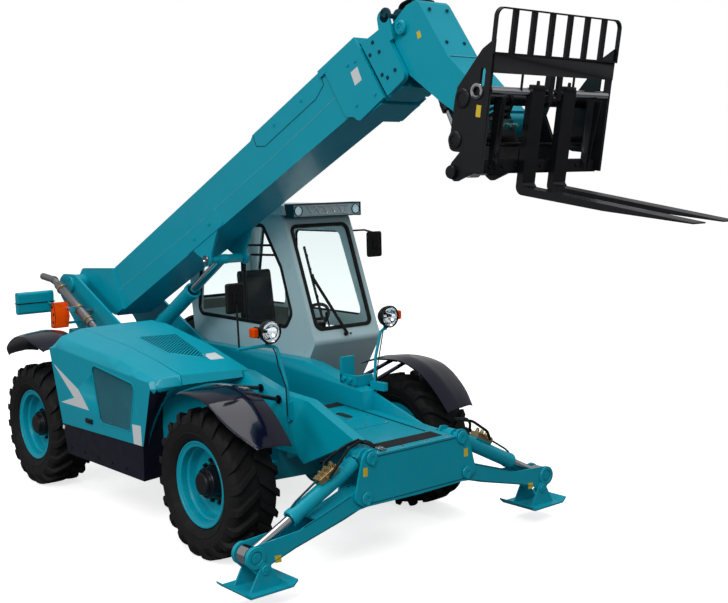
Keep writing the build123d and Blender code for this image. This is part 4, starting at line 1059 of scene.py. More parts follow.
@dataclass
class Hood(Assembly):
    """Opening hood: rounded sheet, painted shade under its slots, slot frame, wires and label."""

    body = "hood"
    low: Line = ((-598, 1336), (-1000, 1415), (-1440, 1485), (-2341, 1567))
    high: Line = ((-352, 1353), (-948, 1501), (-1642, 1620), (-1927, 1630))
    low_y: float = -943.0
    high_y: float = -452.0
    vent: Line = ((-1600, -800), (-1050, -800), (-715, -600), (-1370, -520))
    # Dark sheet under the slots, a painted shade: its corner, size, cells and depth below the top.
    screen_low: Point = (-1640.0, -820.0)
    screen_size: Point = (1000.0, 320.0)
    screen_cells: tuple[int, int] = (24, 8)
    screen_depth: float = 14.5
    wire_depth: float = 9.0
    wire_pitch: float = 26.0
    wire_steps: int = 60
    label: Line = ((-820, -600), (-690, -600), (-640, -500), (-780, -500))

    def top(self, x: float, y: float) -> float:
        """Height of the sheet's top.

        Args:
            x: Place along the machine.
            y: Place across it.

        Returns:
            The height.
        """
        part = (y - self.low_y) / (self.high_y - self.low_y)
        line = [(a + (c - a) * part, b + (d - b) * part) for (a, b), (c, d) in zip(self.low, self.high)]
        for (a, b), (c, d) in zip(line, line[1:]):
            if c <= x <= a:
                return b + (d - b) * (x - a) / (c - a)
        return line[0][1] if x > line[0][0] else line[-1][1]

    def laid(self, spot: Vector) -> Vector:
        """A spot's place when its height is taken from the sheet's top."""
        return Vector((spot.x, spot.y, spot.z + self.top(spot.x, spot.y)))

    def build(self) -> None:
        """Builds the hood and its fittings."""
        self.skin("hood_lid", TEAL, 6.0)
        rim = self.new("hood_vent_frame", TEAL)
        rim.bent(lambda: rim.frame(rounded(self.vent, 30), 16.0, "Z", -2.0, 5.0, 2.0), self.laid)
        self.add_screen()
        self.add_wires()
        label = self.new("hood_label", WHITE_FILM)
        label.bent(lambda: label.plate(self.label, "Z", -0.8, 1.2, 0), self.laid)

    def add_screen(self) -> None:
        """Adds a dark sheet under the slots, cell by cell: painted shade in the vent's recess."""
        screen = self.new("hood_vent_screen", TEAL_SHADE)
        (x, y), (long, wide), (rows, columns) = self.screen_low, self.screen_size, self.screen_cells
        for row in range(rows):
            for column in range(columns):
                low = (x + row * long / rows, y + column * wide / columns)
                high = (x + (row + 1) * long / rows, y + (column + 1) * wide / columns)
                if inside(self.vent, (low[0] + high[0]) / 2, (low[1] + high[1]) / 2):
                    screen.bm.faces.new([screen.bm.verts.new((u, v, self.top(u, v) - self.screen_depth))
                                         for u, v in block(low, high)])
        bmesh.ops.remove_doubles(screen.bm, verts=screen.bm.verts, dist=0.5)

    def add_wires(self) -> None:
        """Adds the slanting wires that cross the slots."""
        cross = self.new("hood_vent_wires", MESH)
        for n in range(-14, 15):
            x = -1180 + n * self.wire_pitch
            start, end = Vector((x, -900)), Vector((x - 130.0, -420))
            spots = [start.lerp(end, t / self.wire_steps) for t in range(self.wire_steps + 1)]
            held = [spot for spot in spots if inside(self.vent, *spot)]
            if len(held) > 3:
                ends = [(spot.x, spot.y, self.top(spot.x, spot.y) - self.wire_depth)
                        for spot in (held[0], held[-1])]
                cross.bar(*ends, 3.0, sides=6)


# ---------------------------------------------------------------- wheels
@dataclass
class Wheel:
    """One wheel: lugged tyre, dished rim, hub and nuts."""

    end: End
    side: Side
    radius: float = 588.0
    lugs: int = 20
    lug_half: float = 27.0
    slant: float = 0.78
    slant_from: float = 100.0
    lug_flare: float = 0.0035
    sides: int = 96
    nuts: int = 10
    nut_circle: float = 168.0
    cover_circle: float = 105.0
    wall: Line = ((306, 148), (342, 150), (349, 166), (372, 184), (398, 194), (404, 199), (412, 196),
                  (440, 203), (474, 203), (480, 206), (487, 202), (512, 194), (532, 180), (546, 156),
                  (550, 90), (551, 0))
    lug: Line = ((10, 542), (10, 583), (14, 588), (60, 588), (112, 587), (160, 585), (188, 568), (206, 520),
                 (208, 486), (198, 482), (176, 530), (150, 540), (112, 542), (60, 542))
    dish: Line = ((305, -149), (338, -149), (338, -164), (291, -164), (291, -30), (150, -12), (150, 8),
                  (236, 8), (252, 12), (262, 22), (268, 40), (272, 78), (277, 90), (288, 98), (289, 140),
                  (294, 150), (316, 155), (322, 160), (327, 165), (335, 165), (338, 161), (338, 149),
                  (305, 149))
    hub: Line = ((0, -60), (146, -60), (152, -50), (152, 14), (146, 20), (128, 22), (124, 30), (120, 104),
                 (114, 112), (98, 114), (94, 118), (88, 144), (80, 150), (0, 150))

    def build(self) -> None:
        """Builds the tyre, rim and hub."""
        name = f"{self.end.word}_{self.side.word}"
        turn = Matrix.Rotation(0.0 if self.side is Side.LEFT else math.pi, 4, "Z")
        place = MACHINE @ Matrix.Translation((self.end.value, self.side.value * WHEEL_Y, AXLE_Z)) @ turn
        wheel = f"{self.end.word}_wheel_{self.side.word}"
        self.make_tyre(place).piece(f"tyre_{name}", RUBBER, wheel, [f"{self.end.word}_tyre_{self.side.word}"])
        rim = Shape(place)
        rim.turned(self.dish, (0, 0, 0), (0, 1, 0), self.sides)
        rim.piece(f"rim_{name}", TEAL, wheel, [f"{self.end.word}_rim_{self.side.word}"])
        self.make_hub(place).piece(f"hub_{name}", BLACK, wheel)

    def make_tyre(self, place: Matrix) -> Shape:
        """Carcass with two rows of lugs that run on to its shoulders."""
        tyre = Shape(place)
        other = tuple((radius, -across) for radius, across in reversed(self.wall[:-1]))
        tyre.turned(self.wall + other, (0, 0, 0), (0, 1, 0), self.sides)
        pitch = math.tau / self.lugs
        for row, shift in ((1, 0.25), (-1, 0.75)):
            for count in range(self.lugs):
                self.add_lug(tyre, row, (count + shift) * pitch)
        return tyre

    def add_lug(self, tyre: Shape, row: int, angle: float) -> None:
        """One lug, bent round the carcass.

        Args:
            tyre: Shape that takes it.
            row: 1 for the outer row, -1 for the inner.
            angle: Its place round the tyre.
        """
        points = [(across * row, radius) for across, radius in self.lug]

        def wrap(spot: Vector) -> Vector:
            """A flat lug's spot on the round tyre; the lug widens towards its foot."""
            along, across, radius = spot
            wide = 1.0 + self.lug_flare * (self.radius - radius)
            turn = angle + (along * wide + self.slant * (abs(across) - self.slant_from)) / self.radius
            return Vector((radius * math.cos(turn), across, radius * math.sin(turn)))

        tyre.bent(lambda: tyre.plate(points, "X", -self.lug_half, self.lug_half, 4.0, 1), wrap)

    def make_hub(self, place: Matrix) -> Shape:
        """Hub, its wheel nuts and cover bolts."""
        hub = Shape(place)
        hub.turned(self.hub, (0, 0, 0), (0, 1, 0), 48)
        hub.bolts(circle(self.nuts, self.nut_circle), "Y", 6, 1, 30, 30)
        hub.bolts(circle(self.nuts, self.cover_circle, first=0.3), "Y", 110, 1, 13, 9)
        return hub


# ---------------------------------------------------------------- cab
@dataclass
class Cab(Assembly):
    """Cab shell, roof, door and panes with their seals, rails, wiper and roof lamps."""

    near: float = 420.0
    far: float = 1190.0
    side_window: Line = ((-2500, 1570), (-1010, 1555), (-915, 1680), (-1060, 2100), (-1330, 2480),
                         (-2380, 2480))
    quarter: Line = ((-2580, 1620), (-2010, 1620), (-2010, 2480), (-2400, 2480))
    rear_window: tuple[Point, Point] = ((540, 1710), (1070, 2440))
    rear_seal: Point = (-2668.0, -2650.0)
    door_window: Line = ((-1860, 1610), (-790, 1600), (-1120, 2400), (-1860, 2400))
    door_low: Line = ((-1560, 1080), (-980, 1080), (-850, 1280), (-780, 1480), (-1560, 1480))
    screen: Line = ((480, 30), (1115, 30), (1130, 1010), (480, 1010))
    lamp_places: Line = ((500, 2612), (1170, 2612))
    lamp_radius: float = 46.0
    wiper_x: float = 560.0
    wiper_pivot: Point = (782.0, -42.0)
    blade: Point = (112.0, 808.0)
    blade_clips: tuple[float, ...] = (200, 330, 590, 720)

    def build(self) -> None:
        """Builds the cab from the outside in."""
        self.skin("cab_shell", CAB_PAINT, 7.0)
        self.skin("cab_roof", CAB_PAINT, 6.0)
        self.skin("cab_door", CAB_PAINT, 5.0, [("door_handle", BLACK, self.is_handle)])
        self.skin("cab_glass", GLASS)
        self.skin("door_glass", GLASS)
        self.add_seals()
        self.add_wiper()
        self.add_roof_lamps()

    def is_handle(self, p: Vector) -> bool:
        """Whether a face of the door's node belongs to its handle."""
        return p.y > 1200 and p.z < 1560 and -1885 < p.x < -1755

    def add_seals(self) -> None:
        """Adds the black seals round every pane and the rails across the side window."""
        seals = self.new("cab_window_seals", SEAL)
        seals.frame(rounded(self.side_window, 75), 36.0, "Y", self.near - 7, self.near + 12, 5.0)
        seals.frame(rounded(self.quarter, 60), 36.0, "Y", self.far - 12, self.far + 7, 5.0)
        seals.frame(block(*self.rear_window, 40), 34.0, "X", *self.rear_seal, 4.0)
        seals.bar((-1700, self.near + 16, 1575), (-1655, self.near + 16, 2478), 15, sides=16)
        for z in (2285, 2195):
            seals.bar((-1650, self.near + 20, z), (-1180, self.near + 20, z + 12), 11, sides=12)
        door = self.new("door_window_seals", SEAL, "door")
        for outline, radius, width in ((self.door_window, 60, 36.0), (self.door_low, 45, 30.0)):
            door.frame(rounded(outline, radius), width, "Y", self.far + 2, self.far + 13, 4.0)
        front = self.new("windscreen_seal", SEAL, place=SCREEN)
        front.frame(rounded(self.screen, 60), 36.0, "Z", -16, 8, 5.0)

    def add_wiper(self) -> None:
        """Adds the windscreen wiper and its washer jet, in the screen's own plane."""
        wiper = self.new("windscreen_wiper", LAMP, place=SCREEN)
        (px, py), (low, high), x = self.wiper_pivot, self.blade, self.wiper_x
        wiper.bar((px, py, 2), (px, py, 40), 20, 15, 24, 3)
        for shift in (-9, 9):
            wiper.bar((px + shift, py, 34), (x + shift, 500, 30), 8, sides=10)
        wiper.box((x - 15, 470, 18), (x + 15, 540, 36), 4)
        wiper.bar((x, low, 18), (x, high, 18), 10, sides=10)
        wiper.box((x - 5, low, 0), (x + 5, high, 16), 2)
        for up in self.blade_clips:
            wiper.box((x - 11, up - 12, 12), (x + 11, up + 12, 28), 3)
        wiper.bar((840, -44, 2), (840, -44, 22), 9, 6, 16, 1)

    def add_roof_lamps(self) -> None:
        """Adds the roof bar's front, dark with painted shade, its zigzag reflectors and its round lamps."""
        # The roof bar's boxes take the shaded teal: painted shade.
        bar = self.new("roof_bar", TEAL_SHADE)
        bar.box((-898, 446, 2552), (-876, 1226, 2560), 2)
        bar.box((-1010, 438, 2664), (-878, 1232, 2676), 4)
        for y in (436, 1222):
            bar.box((-1000, y, 2548), (-876, y + 14, 2676), 4)
        bar.plate(block((452, 2560), (1220, 2664)), "X", -891, -886, 0)
        panel = self.new("roof_bar_reflectors", REFLECTOR)
        panel.beads([(610 + 45 * n, 2582 if n % 2 else 2646) for n in range(11)], "X", -880, 5)
        for z in (2576, 2652):
            panel.beads([(590, z), (1080, z)], "X", -880, 4)
        for number, (y, z) in enumerate(self.lamp_places, 1):
            self.lamp(f"roof_lamp_{number}", (-900, y, z), self.lamp_radius)


@dataclass
class CabInside(Assembly):
    """Trim, lining, padded seat, dashboard details and levers."""

    seat_back: Line = ((-1990, 1420), (-1935, 1420), (-2010, 1930), (-2060, 1990), (-2080, 1985))
    seat_front: float = -1530.0
    seat_low: float = 1288.0
    near_lining: Line = ((-2560, 1560), (-2440, 1050), (-980, 1050), (-860, 1250), (-860, 1500),
                         (-1040, 1530))

    def build(self) -> None:
        """Builds everything seen through the panes."""
        self.skin("cab_interior", INTERIOR, 6.0,
                  [("seat_shell", SEAT, lambda p: p.x < self.seat_front and p.z > self.seat_low)])
        cushion, back = Shape(), Shape()
        cushion.box((-2010, 640, 1372), (-1560, 990, 1440), 26, segments=4)
        cushion.piece("seat_cushion", SEAT, "chassis")
        back.plate(self.seat_back, "Y", 660, 970, 18, 4)
        back.piece("seat_back_pad", SEAT, "chassis")
        lining = self.new("cab_lining", LINING)
        lining.box((-2595, 470, 1070), (-2585, 1140, 1690), 4)
        lining.box((-2300, 1128, 1010), (-1950, 1140, 1600), 4)
        lining.plate(self.near_lining, "Y", 468, 474, 2)
        speaker = self.new("cab_speaker", LAMP)
        speaker.turned([(0, 0), (70, 0), (74, 8), (64, 14), (0, 10)], (-2300, 1126, 1420), (0, -1, 0), 36,
                       False)
        small = self.new("cab_controls", LAMP)
        for y in (690, 930):
            small.bar((-1000, y, 1440), (-1050, y, 1600), 9, 7, 16)
            small.bar((-1050, y, 1600), (-1056, y, 1640), 17, 15, 20, 5)
        small.box((-1090, 730, 1492), (-1010, 890, 1560), 14)
        small.bar((-1560, 600, 1400), (-1560, 600, 1560), 12, 9, 16)
        small.box((-1640, 560, 1300), (-1500, 632, 1420), 16)
        small.bar((-1600, 596, 1420), (-1590, 596, 1500), 22, 18, 20, 6)
        gauges = self.new("cab_gauges", WHITE_FILM)
        for y in (770, 810, 850):
            gauges.turned([(0, 0), (15, 0), (15, 4), (0, 4)], (-1092, y, 1530), (-1, 0, 0.25), 24, False)


# ---------------------------------------------------------------- lamps and mirrors
@dataclass
class FrontLamps(Assembly):
    """Lamp posts, head lamps, direction lamps and mirrors."""

    lamp_x: float = 150.0
    lamp_z: float = 1727.0
    lamp_y: tuple[float, float] = (-606.0, 622.0)
    lamp_radius: float = 94.0
    lamp_reach: float = 175.0
    lamp_low: float = 1664.0
    lamp_far: float = 790.0
    cables: tuple[Run, ...] = (
        ((140, -590, 1650), (190, -560, 1560), (200, -545, 1450), (270, -530, 1300), (276, -524, 1060)),
        ((140, 610, 1650), (170, 560, 1560), (168, 510, 1350), (160, 480, 1100)),
    )
    mirrors: tuple[tuple[str, Place, Place], ...] = (
        ("right", (84, -947, 1888), (128, -783, 2121)),
        ("left", (-836, 1250, 2150), (-788, 1420, 2390)),
    )

    def is_lamp(self, p: Vector) -> bool:
        """Whether a face of the posts' node belongs to a lamp or its indicator."""
        return p.z > self.lamp_low and abs(p.y) < self.lamp_far and any(
            (p - Vector((self.lamp_x, y, self.lamp_z))).length < self.lamp_reach for y in self.lamp_y)

    def is_mirror(self, p: Vector) -> bool:
        """Whether a face of the arms' node belongs to a mirror."""
        left = p.x < -785 and p.y > 1245 and 2145 < p.z < 2379
        return left or (80 < p.x < 128 and p.y < -780 and p.z > 1886)

    def build(self) -> None:
        """Builds the posts, lamps and mirrors."""
        self.skin("front_lamps", TEAL, 0.0, [("lamp_cores", None, self.is_lamp)])
        x = self.lamp_x
        for side, y in zip((Side.RIGHT, Side.LEFT), self.lamp_y):
            out = side.value
            self.lamp(f"head_lamp_{side.word}", (x, y, self.lamp_z), self.lamp_radius)
            mount = self.new(f"lamp_mount_{side.word}", LAMP)
            mount.bar((x, y, 1622), (x, y, 1668), 15, sides=20, width=3)
            mount.box((x - 25, y - 20, 1650), (x + 15, y + 20, 1672), 4)
            mount.box((x - 30, y, 1716), (x + 10, y + out * 100, 1738), 4)
            mount.box((118, y + out * 92, 1684), (182, y + out * 104, 1772), 6)
            lens = self.new(f"direction_lamp_{side.word}", ORANGE)
            lens.box((113, y + out * 103, 1690), (188, y + out * 150, 1766), 14, segments=4)
            for z in range(1702, 1760, 9):
                lens.box((118, y + out * 109, z), (190, y + out * 144, z + 3), 1, segments=1)
        cable = self.new("lamp_cables", SEAL)
        for path in self.cables:
            cable.tube(path, 5, 60)
        self.add_mirrors()

    def add_mirrors(self) -> None:
        """Builds the two mirrors on their arms."""
        self.skin("mirrors", LAMP, 0.0, [("mirror_cores", None, self.is_mirror)])
        for name, low, high in self.mirrors:
            shell = self.new(f"mirror_{name}_shell", LAMP)
            shell.box(low, high, 20, segments=4)
            x, y, z = high[0], (low[1] + high[1]) / 2, (low[2] + high[2]) / 2
            shell.box((x - 2, y - 32, z - 44), (x + 12, y + 32, z + 44), 6)
            shell.bolts([(y, z - 28), (y, z + 28)], "X", x + 10, 1, 15, 8)
            outline = block((low[1] + 12, low[2] + 12), (high[1] - 12, high[2] - 12), 14)
            self.flat(f"mirror_{name}_glass", REFLECTOR, outline, "X", low[0] - 3, low[0] + 2)


# ---------------------------------------------------------------- boom
@dataclass
class Boom(Assembly):
    """The three boom sections with their seams, plates, plugs, bolts, labels and hoses."""

    home = BOOM
    half: float = 190.0
    mid_half: float = 160.0
    head_half: float = 150.0
    seam: Line = ((544, -335), (2206, -372), (3739, -372), (4676, -345))
    top_plate: Line = ((3510, -80), (3514, -187), (3625, -244), (4403, -238), (4534, -191), (4541, -80))
    lug_plate: Line = ((2010, -552), (2190, -420), (2629, -350), (2697, -385), (2744, -523), (2720, -552))
    high_plugs: Line = ((3817, -146), (4228, -151))
    lug_plugs: Line = ((2540, -458), (2246, -470))
    outer_bolts: Line = ((4874, -218), (4960, -238), (4830, -530), (5050, -560))
    mid_bolts: Line = ((5182, -214), (5118, -279), (5215, -310), (5211, -517), (5305, -510), (5170, -470))
    head_label: Line = ((5566, -364), (5602, -369), (5596, -418), (5560, -413))
    hose_rows: tuple[float, ...] = (-52, -20, 12, 44)

    def build(self) -> None:
        """Builds the sections and their fittings."""
        for node, width in (("boom_outer", 6.0), ("boom_mid", 4.0), ("boom_inner", 4.0)):
            self.skin(node, TEAL, width)
        self.add_outer()
        self.add_outer_pins()
        self.add_mid()
        self.add_head()
        self.add_hoses()

    def add_outer(self) -> None:
        """Adds the top plate's outline in painted shade, the seam line in painted highlight, plates, plugs
        and the label of the outer section.
        """
        y, body = -self.half, "boom_outer"
        # Dark beads round the top plate, in the shaded teal: painted shade along the plate's edge.
        self.new("boom_outer_seams", TEAL_SHADE, body, mirrored=True).beads(self.top_plate, "Y", y, 3.4)
        # Pale line along the weld: a painted highlight on its ridge.
        self.new("boom_outer_lines", TEAL_HIGHLIGHT, body, mirrored=True).beads(self.seam, "Y", y, 2.2)
        plates = self.new("boom_outer_plates", TEAL, body, mirrored=True)
        plates.plate(rounded(self.lug_plate, 24), "Y", y - 7, y + 1, 3)
        plates.plate(block((4535, -135), (4640, -75), 8), "Y", y - 22, y - 2, 2)
        plugs = self.new("boom_outer_plugs", TEAL, body, mirrored=True)
        for places, face, step in ((self.high_plugs, y, 5), (self.lug_plugs, y - 7, 6)):
            profile = [(0, 0), (17, 0), (17, step), (9, step + 2), (8, 3), (0, 3)]
            for u, w in places:
                plugs.turned(profile, (u, face, w), (0, -1, 0), 24, False)
        plugs.bolts(self.outer_bolts, "Y", y - 20, -1, 22, 9)
        self.flat("boom_label", WHITE_FILM, block((4880, -395), (4965, -285)), "Y", y - 21.6, y - 19.5, body)

    def add_outer_pins(self) -> None:
        """Adds the tail pivot's caps and the lift cylinder pin's keepers."""
        pivot = self.new("boom_tail_caps", TEAL, "boom_outer", mirrored=True)
        pivot.turned([(0, 0), (62, 0), (66, 6), (60, 14), (0, 14)], (0, -212, 0), (0, -1, 0), 40, False)
        pivot.bolts(circle(4, 44, first=math.pi / 4), "Y", -225, -1, 15, 8)
        keeper = self.new("lift_pin_keepers", CHROME, "boom_outer", mirrored=True)
        keeper.turned([(0, 0), (44, 0), (46, 4), (44, 10), (0, 10)], (2359, -212, -729), (0, -1, 0), 36,
                      False)
        keeper.box((2330, -230, -748), (2420, -221, -712), 3)
        keeper.bolts([(2345, -730), (2405, -730)], "Y", -230, -1, 17, 9)

    def add_mid(self) -> None:
        """Adds bolts and sheaves of the middle section."""
        # The middle section's bolts and sheaves take the shaded teal: painted shade.
        bolts = self.new("boom_mid_bolts", TEAL_SHADE, "boom_mid", mirrored=True)
        bolts.bolts(self.mid_bolts, "Y", -self.mid_half - 40, -1, 22, 9)
        sheaves = self.new("boom_mid_sheaves", TEAL_SHADE, "boom_mid")
        for y in (-186, -60, 186, 60):
            sheaves.turned([(0, -10), (50, -10), (56, -8), (50, 0), (56, 8), (50, 10), (0, 10)],
                           (5372, y, -110), (0, 1, 0), 40, False)
        sheaves.bar((5372, -200, -110), (5372, 200, -110), 18, sides=24, width=3)

    def add_head(self) -> None:
        """Adds pin bosses, a pale bead painted as the highlight of the fold across the head, bolts, the label
        and the eyes' rings of the head.
        """
        y, body = -self.head_half, "boom_inner"
        boss = self.new("head_pin_bosses", TEAL, body, mirrored=True)
        boss.turned([(0, 0), (50, 0), (52, 5), (46, 14), (30, 16), (28, 8), (0, 8)], (5457, y - 16, -259),
                    (0, -1, 0), 40, False)
        boss.box((5440, y - 30, -300), (5474, y - 20, -240), 3)
        boss.bolts([(5457, -288), (5457, -252)], "Y", y - 29, -1, 14, 8)
        # Pale line across the head: a painted highlight on the fold over it.
        self.new("head_weld_beads", TEAL_HIGHLIGHT, body).beads([(-132, -662), (132, -662)], "X", 5765, 3.5)
        # The head's front bolts take the shaded teal: painted shade.
        bolts = self.new("head_front_bolts", TEAL_SHADE, body)
        for u, w in ((5692, -250), (5738, -540)):
            for side in (-85, 85):
                bolts.bolt((u, side, w), (0.98, 0, 0.18), 20, 10)
        self.flat("head_label", YELLOW_FILM, self.head_label, "Y", y - 1.6, y + 0.4, body)
        eyes = self.new("head_eye_rings", TEAL, body, mirrored=True)
        eyes.turned([(36, 0), (84, 0), (87, 4), (84, 8), (36, 8)], (5919, y, -1277), (0, -1, 0), 48)

    def add_hoses(self) -> None:
        """Adds the hoses over the head and their clamp."""
        hoses = self.new("head_hoses", SEAL, "boom_inner")
        for number, y in enumerate(self.hose_rows):
            hoses.tube([(5300, y, -158), (5420, y, -40 + 9 * number), (5560, y * 0.9, -70),
                        (5640, y * 0.9, -150)], 11, 60)
        clamps = self.new("head_hose_clamps", BLACK, "boom_inner")
        clamps.box((5536, -72, -110), (5572, 72, -90), 4)
        clamps.bolts([(5554, -62), (5554, 62)], "Z", -90, 1, 14, 8)


@dataclass
class Cylinders(Assembly):
    """Boom and tilt cylinders: barrels, bright rods, collars, pipes and lock valve."""

    body = "lift_barrel"
    base: Place = (-3382.0, -40.0, 959.0)
    top: Place = (-1325.0, -40.0, 2195.0)
    length: float = 1790.0
    spacer: float = 62.0
    gland: Line = ((60, 0), (78, 0), (80, 6), (80, 44), (76, 52), (60, 52))
    band: Line = ((70, 0), (78, 0), (78, 26), (70, 26))

    def is_spacer(self, p: Vector) -> bool:
        """Whether a face of the lift rod's node belongs to the spacer round its pin."""
        return math.hypot(p.x - self.top[0], p.z - self.top[2]) < self.spacer

    def build(self) -> None:
        """Builds the cylinders' skins and fittings."""
        self.skin("lift_barrel", TEAL, 3.0)
        self.skin("lift_rod", CHROME, 0.0, [("lift_rod_spacer", TEAL, self.is_spacer)])
        self.skin("tilt_barrel", BLACK, 2.0)
        self.skin("tilt_rod", CHROME)
        start = Vector(self.base)
        way = (Vector(self.top) - start).normalized()
        across = Vector((-way.z, 0, way.x))

        def at(along: float, up: float, y: float = 0.0) -> Place:
            """A place on the barrel."""
            spot = start + way * along + across * up
            return (spot.x, spot.y + y, spot.z)

        trim = self.new("lift_barrel_collars", TEAL)
        for along, profile in ((self.length - 50, self.gland), (520, self.band), (1150, self.band)):
            trim.turned(profile, at(along, 0), tuple(way), 48)
        # The barrel's pipes take the shaded teal: painted shade.
        pipes = self.new("lift_barrel_pipes", TEAL_SHADE)
        pipes.tube([at(330, 98, 30), at(400, 60, 84), at(500, 6, 90), at(1500, 6, 90), at(1640, 6, 88),
                    at(1690, 10, 66)], 9, 40)
        pipes.tube([at(330, 98, -20), at(380, 90, -30), at(460, 74, -20)], 9, 30)
        valve = self.new("lift_valve_fittings", BRASS)
        for along in (215, 260, 305):
            valve.bar(at(along, 118), at(along, 142), 16, sides=6, width=2)
        for along, out in ((240, -1), (290, 1)):
            valve.bar(at(along, 100, out * 50), at(along, 100, out * 74), 15, sides=6, width=2)
        hose = self.new("lift_valve_hose", SEAL)
        hose.tube([at(240, 100, -74), at(230, 130, -130), at(60, 150, -170), at(-60, 60, -150)], 11, 60)


# ---------------------------------------------------------------- carriage
@dataclass
class Carriage(Assembly):
    """Fork carriage with its guard, forks, rings, bosses, plates, hoses and label."""

    home = CARRIAGE
    body = "carriage"
    half: float = 583.0
    side_bosses: Run = ((136, 177, 58), (107, -82, 52))

    def build(self) -> None:
        """Builds the carriage's skins and fittings."""
        self.skin("carriage", BLACK, 3.0)
        self.skin("load_guard", BLACK, 2.5)
        self.skin("forks", BLACK, 4.0)
        rings = self.new("carriage_bright_rings", CHROME)
        bosses = self.new("carriage_bosses", BLACK)
        for side in Side:
            rings.turned([(28, 0), (46, 0), (50, 6), (48, 12), (34, 14), (28, 10)],
                         (254, side.value * self.half, 231), (0, side.value, 0), 48)
            self.add_bosses(bosses, side.value)
        self.new("fork_shaft_sleeve", CHROME).bar((332, -560, 245), (332, 560, 245), 25, sides=40)
        stays = self.new("carriage_stays", BLACK)
        for y in (-300, 30, 190):
            stays.bar((351, y, 250), (351, y, 352), 8, sides=16)
        stays.bar((262, -560, -90), (262, 560, -90), 14, sides=24)
        self.add_plates()
        self.add_hoses()
        locks = self.new("fork_locks", BLACK)
        for y in (-150, 150):
            locks.box((318, y - 50, 258), (376, y + 50, 292), 8)
            locks.bar((352, y, 292), (352, y, 318), 12, 10, 20, 3)

    def add_bosses(self, bosses: Shape, out: int) -> None:
        """Adds the round bosses of one side.

        Args:
            bosses: Shape that takes them.
            out: 1 on the left side, -1 on the right.
        """
        y, inner, way = out * self.half, out * 214.0, (0, out, 0)
        for x, z, r in self.side_bosses:
            bosses.turned([(r - 22, 0), (r, 0), (r + 3, 5), (r - 2, 12), (r - 18, 14)], (x, y, z), way, 48)
            bosses.turned([(0, 0), (r - 26, 0), (r - 28, 7), (0, 8)], (x, y, z), way, 32, False)
        bosses.bolts(circle(4, 30, (107, -82), math.pi / 4), "Y", y + out * 6, out, 12, 7)
        bosses.turned([(0, 0), (66, 0), (70, 6), (62, 14), (0, 14)], (0, inner - out * 14, 0), way, 40, False)
        bosses.turned([(0, 0), (44, 0), (46, 6), (42, 14), (0, 14)], (-276, inner - out * 8, -345), way, 36,
                      False)

    def add_plates(self) -> None:
        """Adds the front's plates with their bolts, and the label."""
        plates = self.new("carriage_front_plates", BLACK)
        for y in (-62, 20):
            plates.box((362, y, 200), (372, y + 40, 352), 4)
        for y in (-470, 470):
            plates.plate([(300, 210), (372, 210), (330, -245), (300, -245)], "Y", y - 6, y + 6, 3)
        plates.plate(block((-540, -250), (540, -185)), "X", 314, 322, 3)
        plates.bolts([(y, -218) for y in range(-480, 500, 120)], "X", 322, 1, 18, 9)
        self.flat("carriage_label", YELLOW_FILM, block((262, 78), (300, 150)), "Y", -self.half - 1.8,
                  -self.half + 0.4)

    def add_hoses(self) -> None:
        """Adds the hoses and their couplers."""
        hoses = self.new("carriage_hoses", SEAL)
        for z in (60, 96):
            path = [(120, -150, z), (180, -330, z + 40), (200, -480, z - 10), (150, -556, z - 40)]
            hoses.tube(path, 10, 60)
        couplers = self.new("carriage_couplers", COUPLER)
        for y in (-410, -345, -280):
            couplers.bar((270, y, 30), (318, y, 34), 17, sides=6, width=2)
            couplers.bar((316, y, 34), (340, y, 36), 12, sides=20, width=3)
        couplers.box((240, -440, 0), (274, -250, 66), 5)


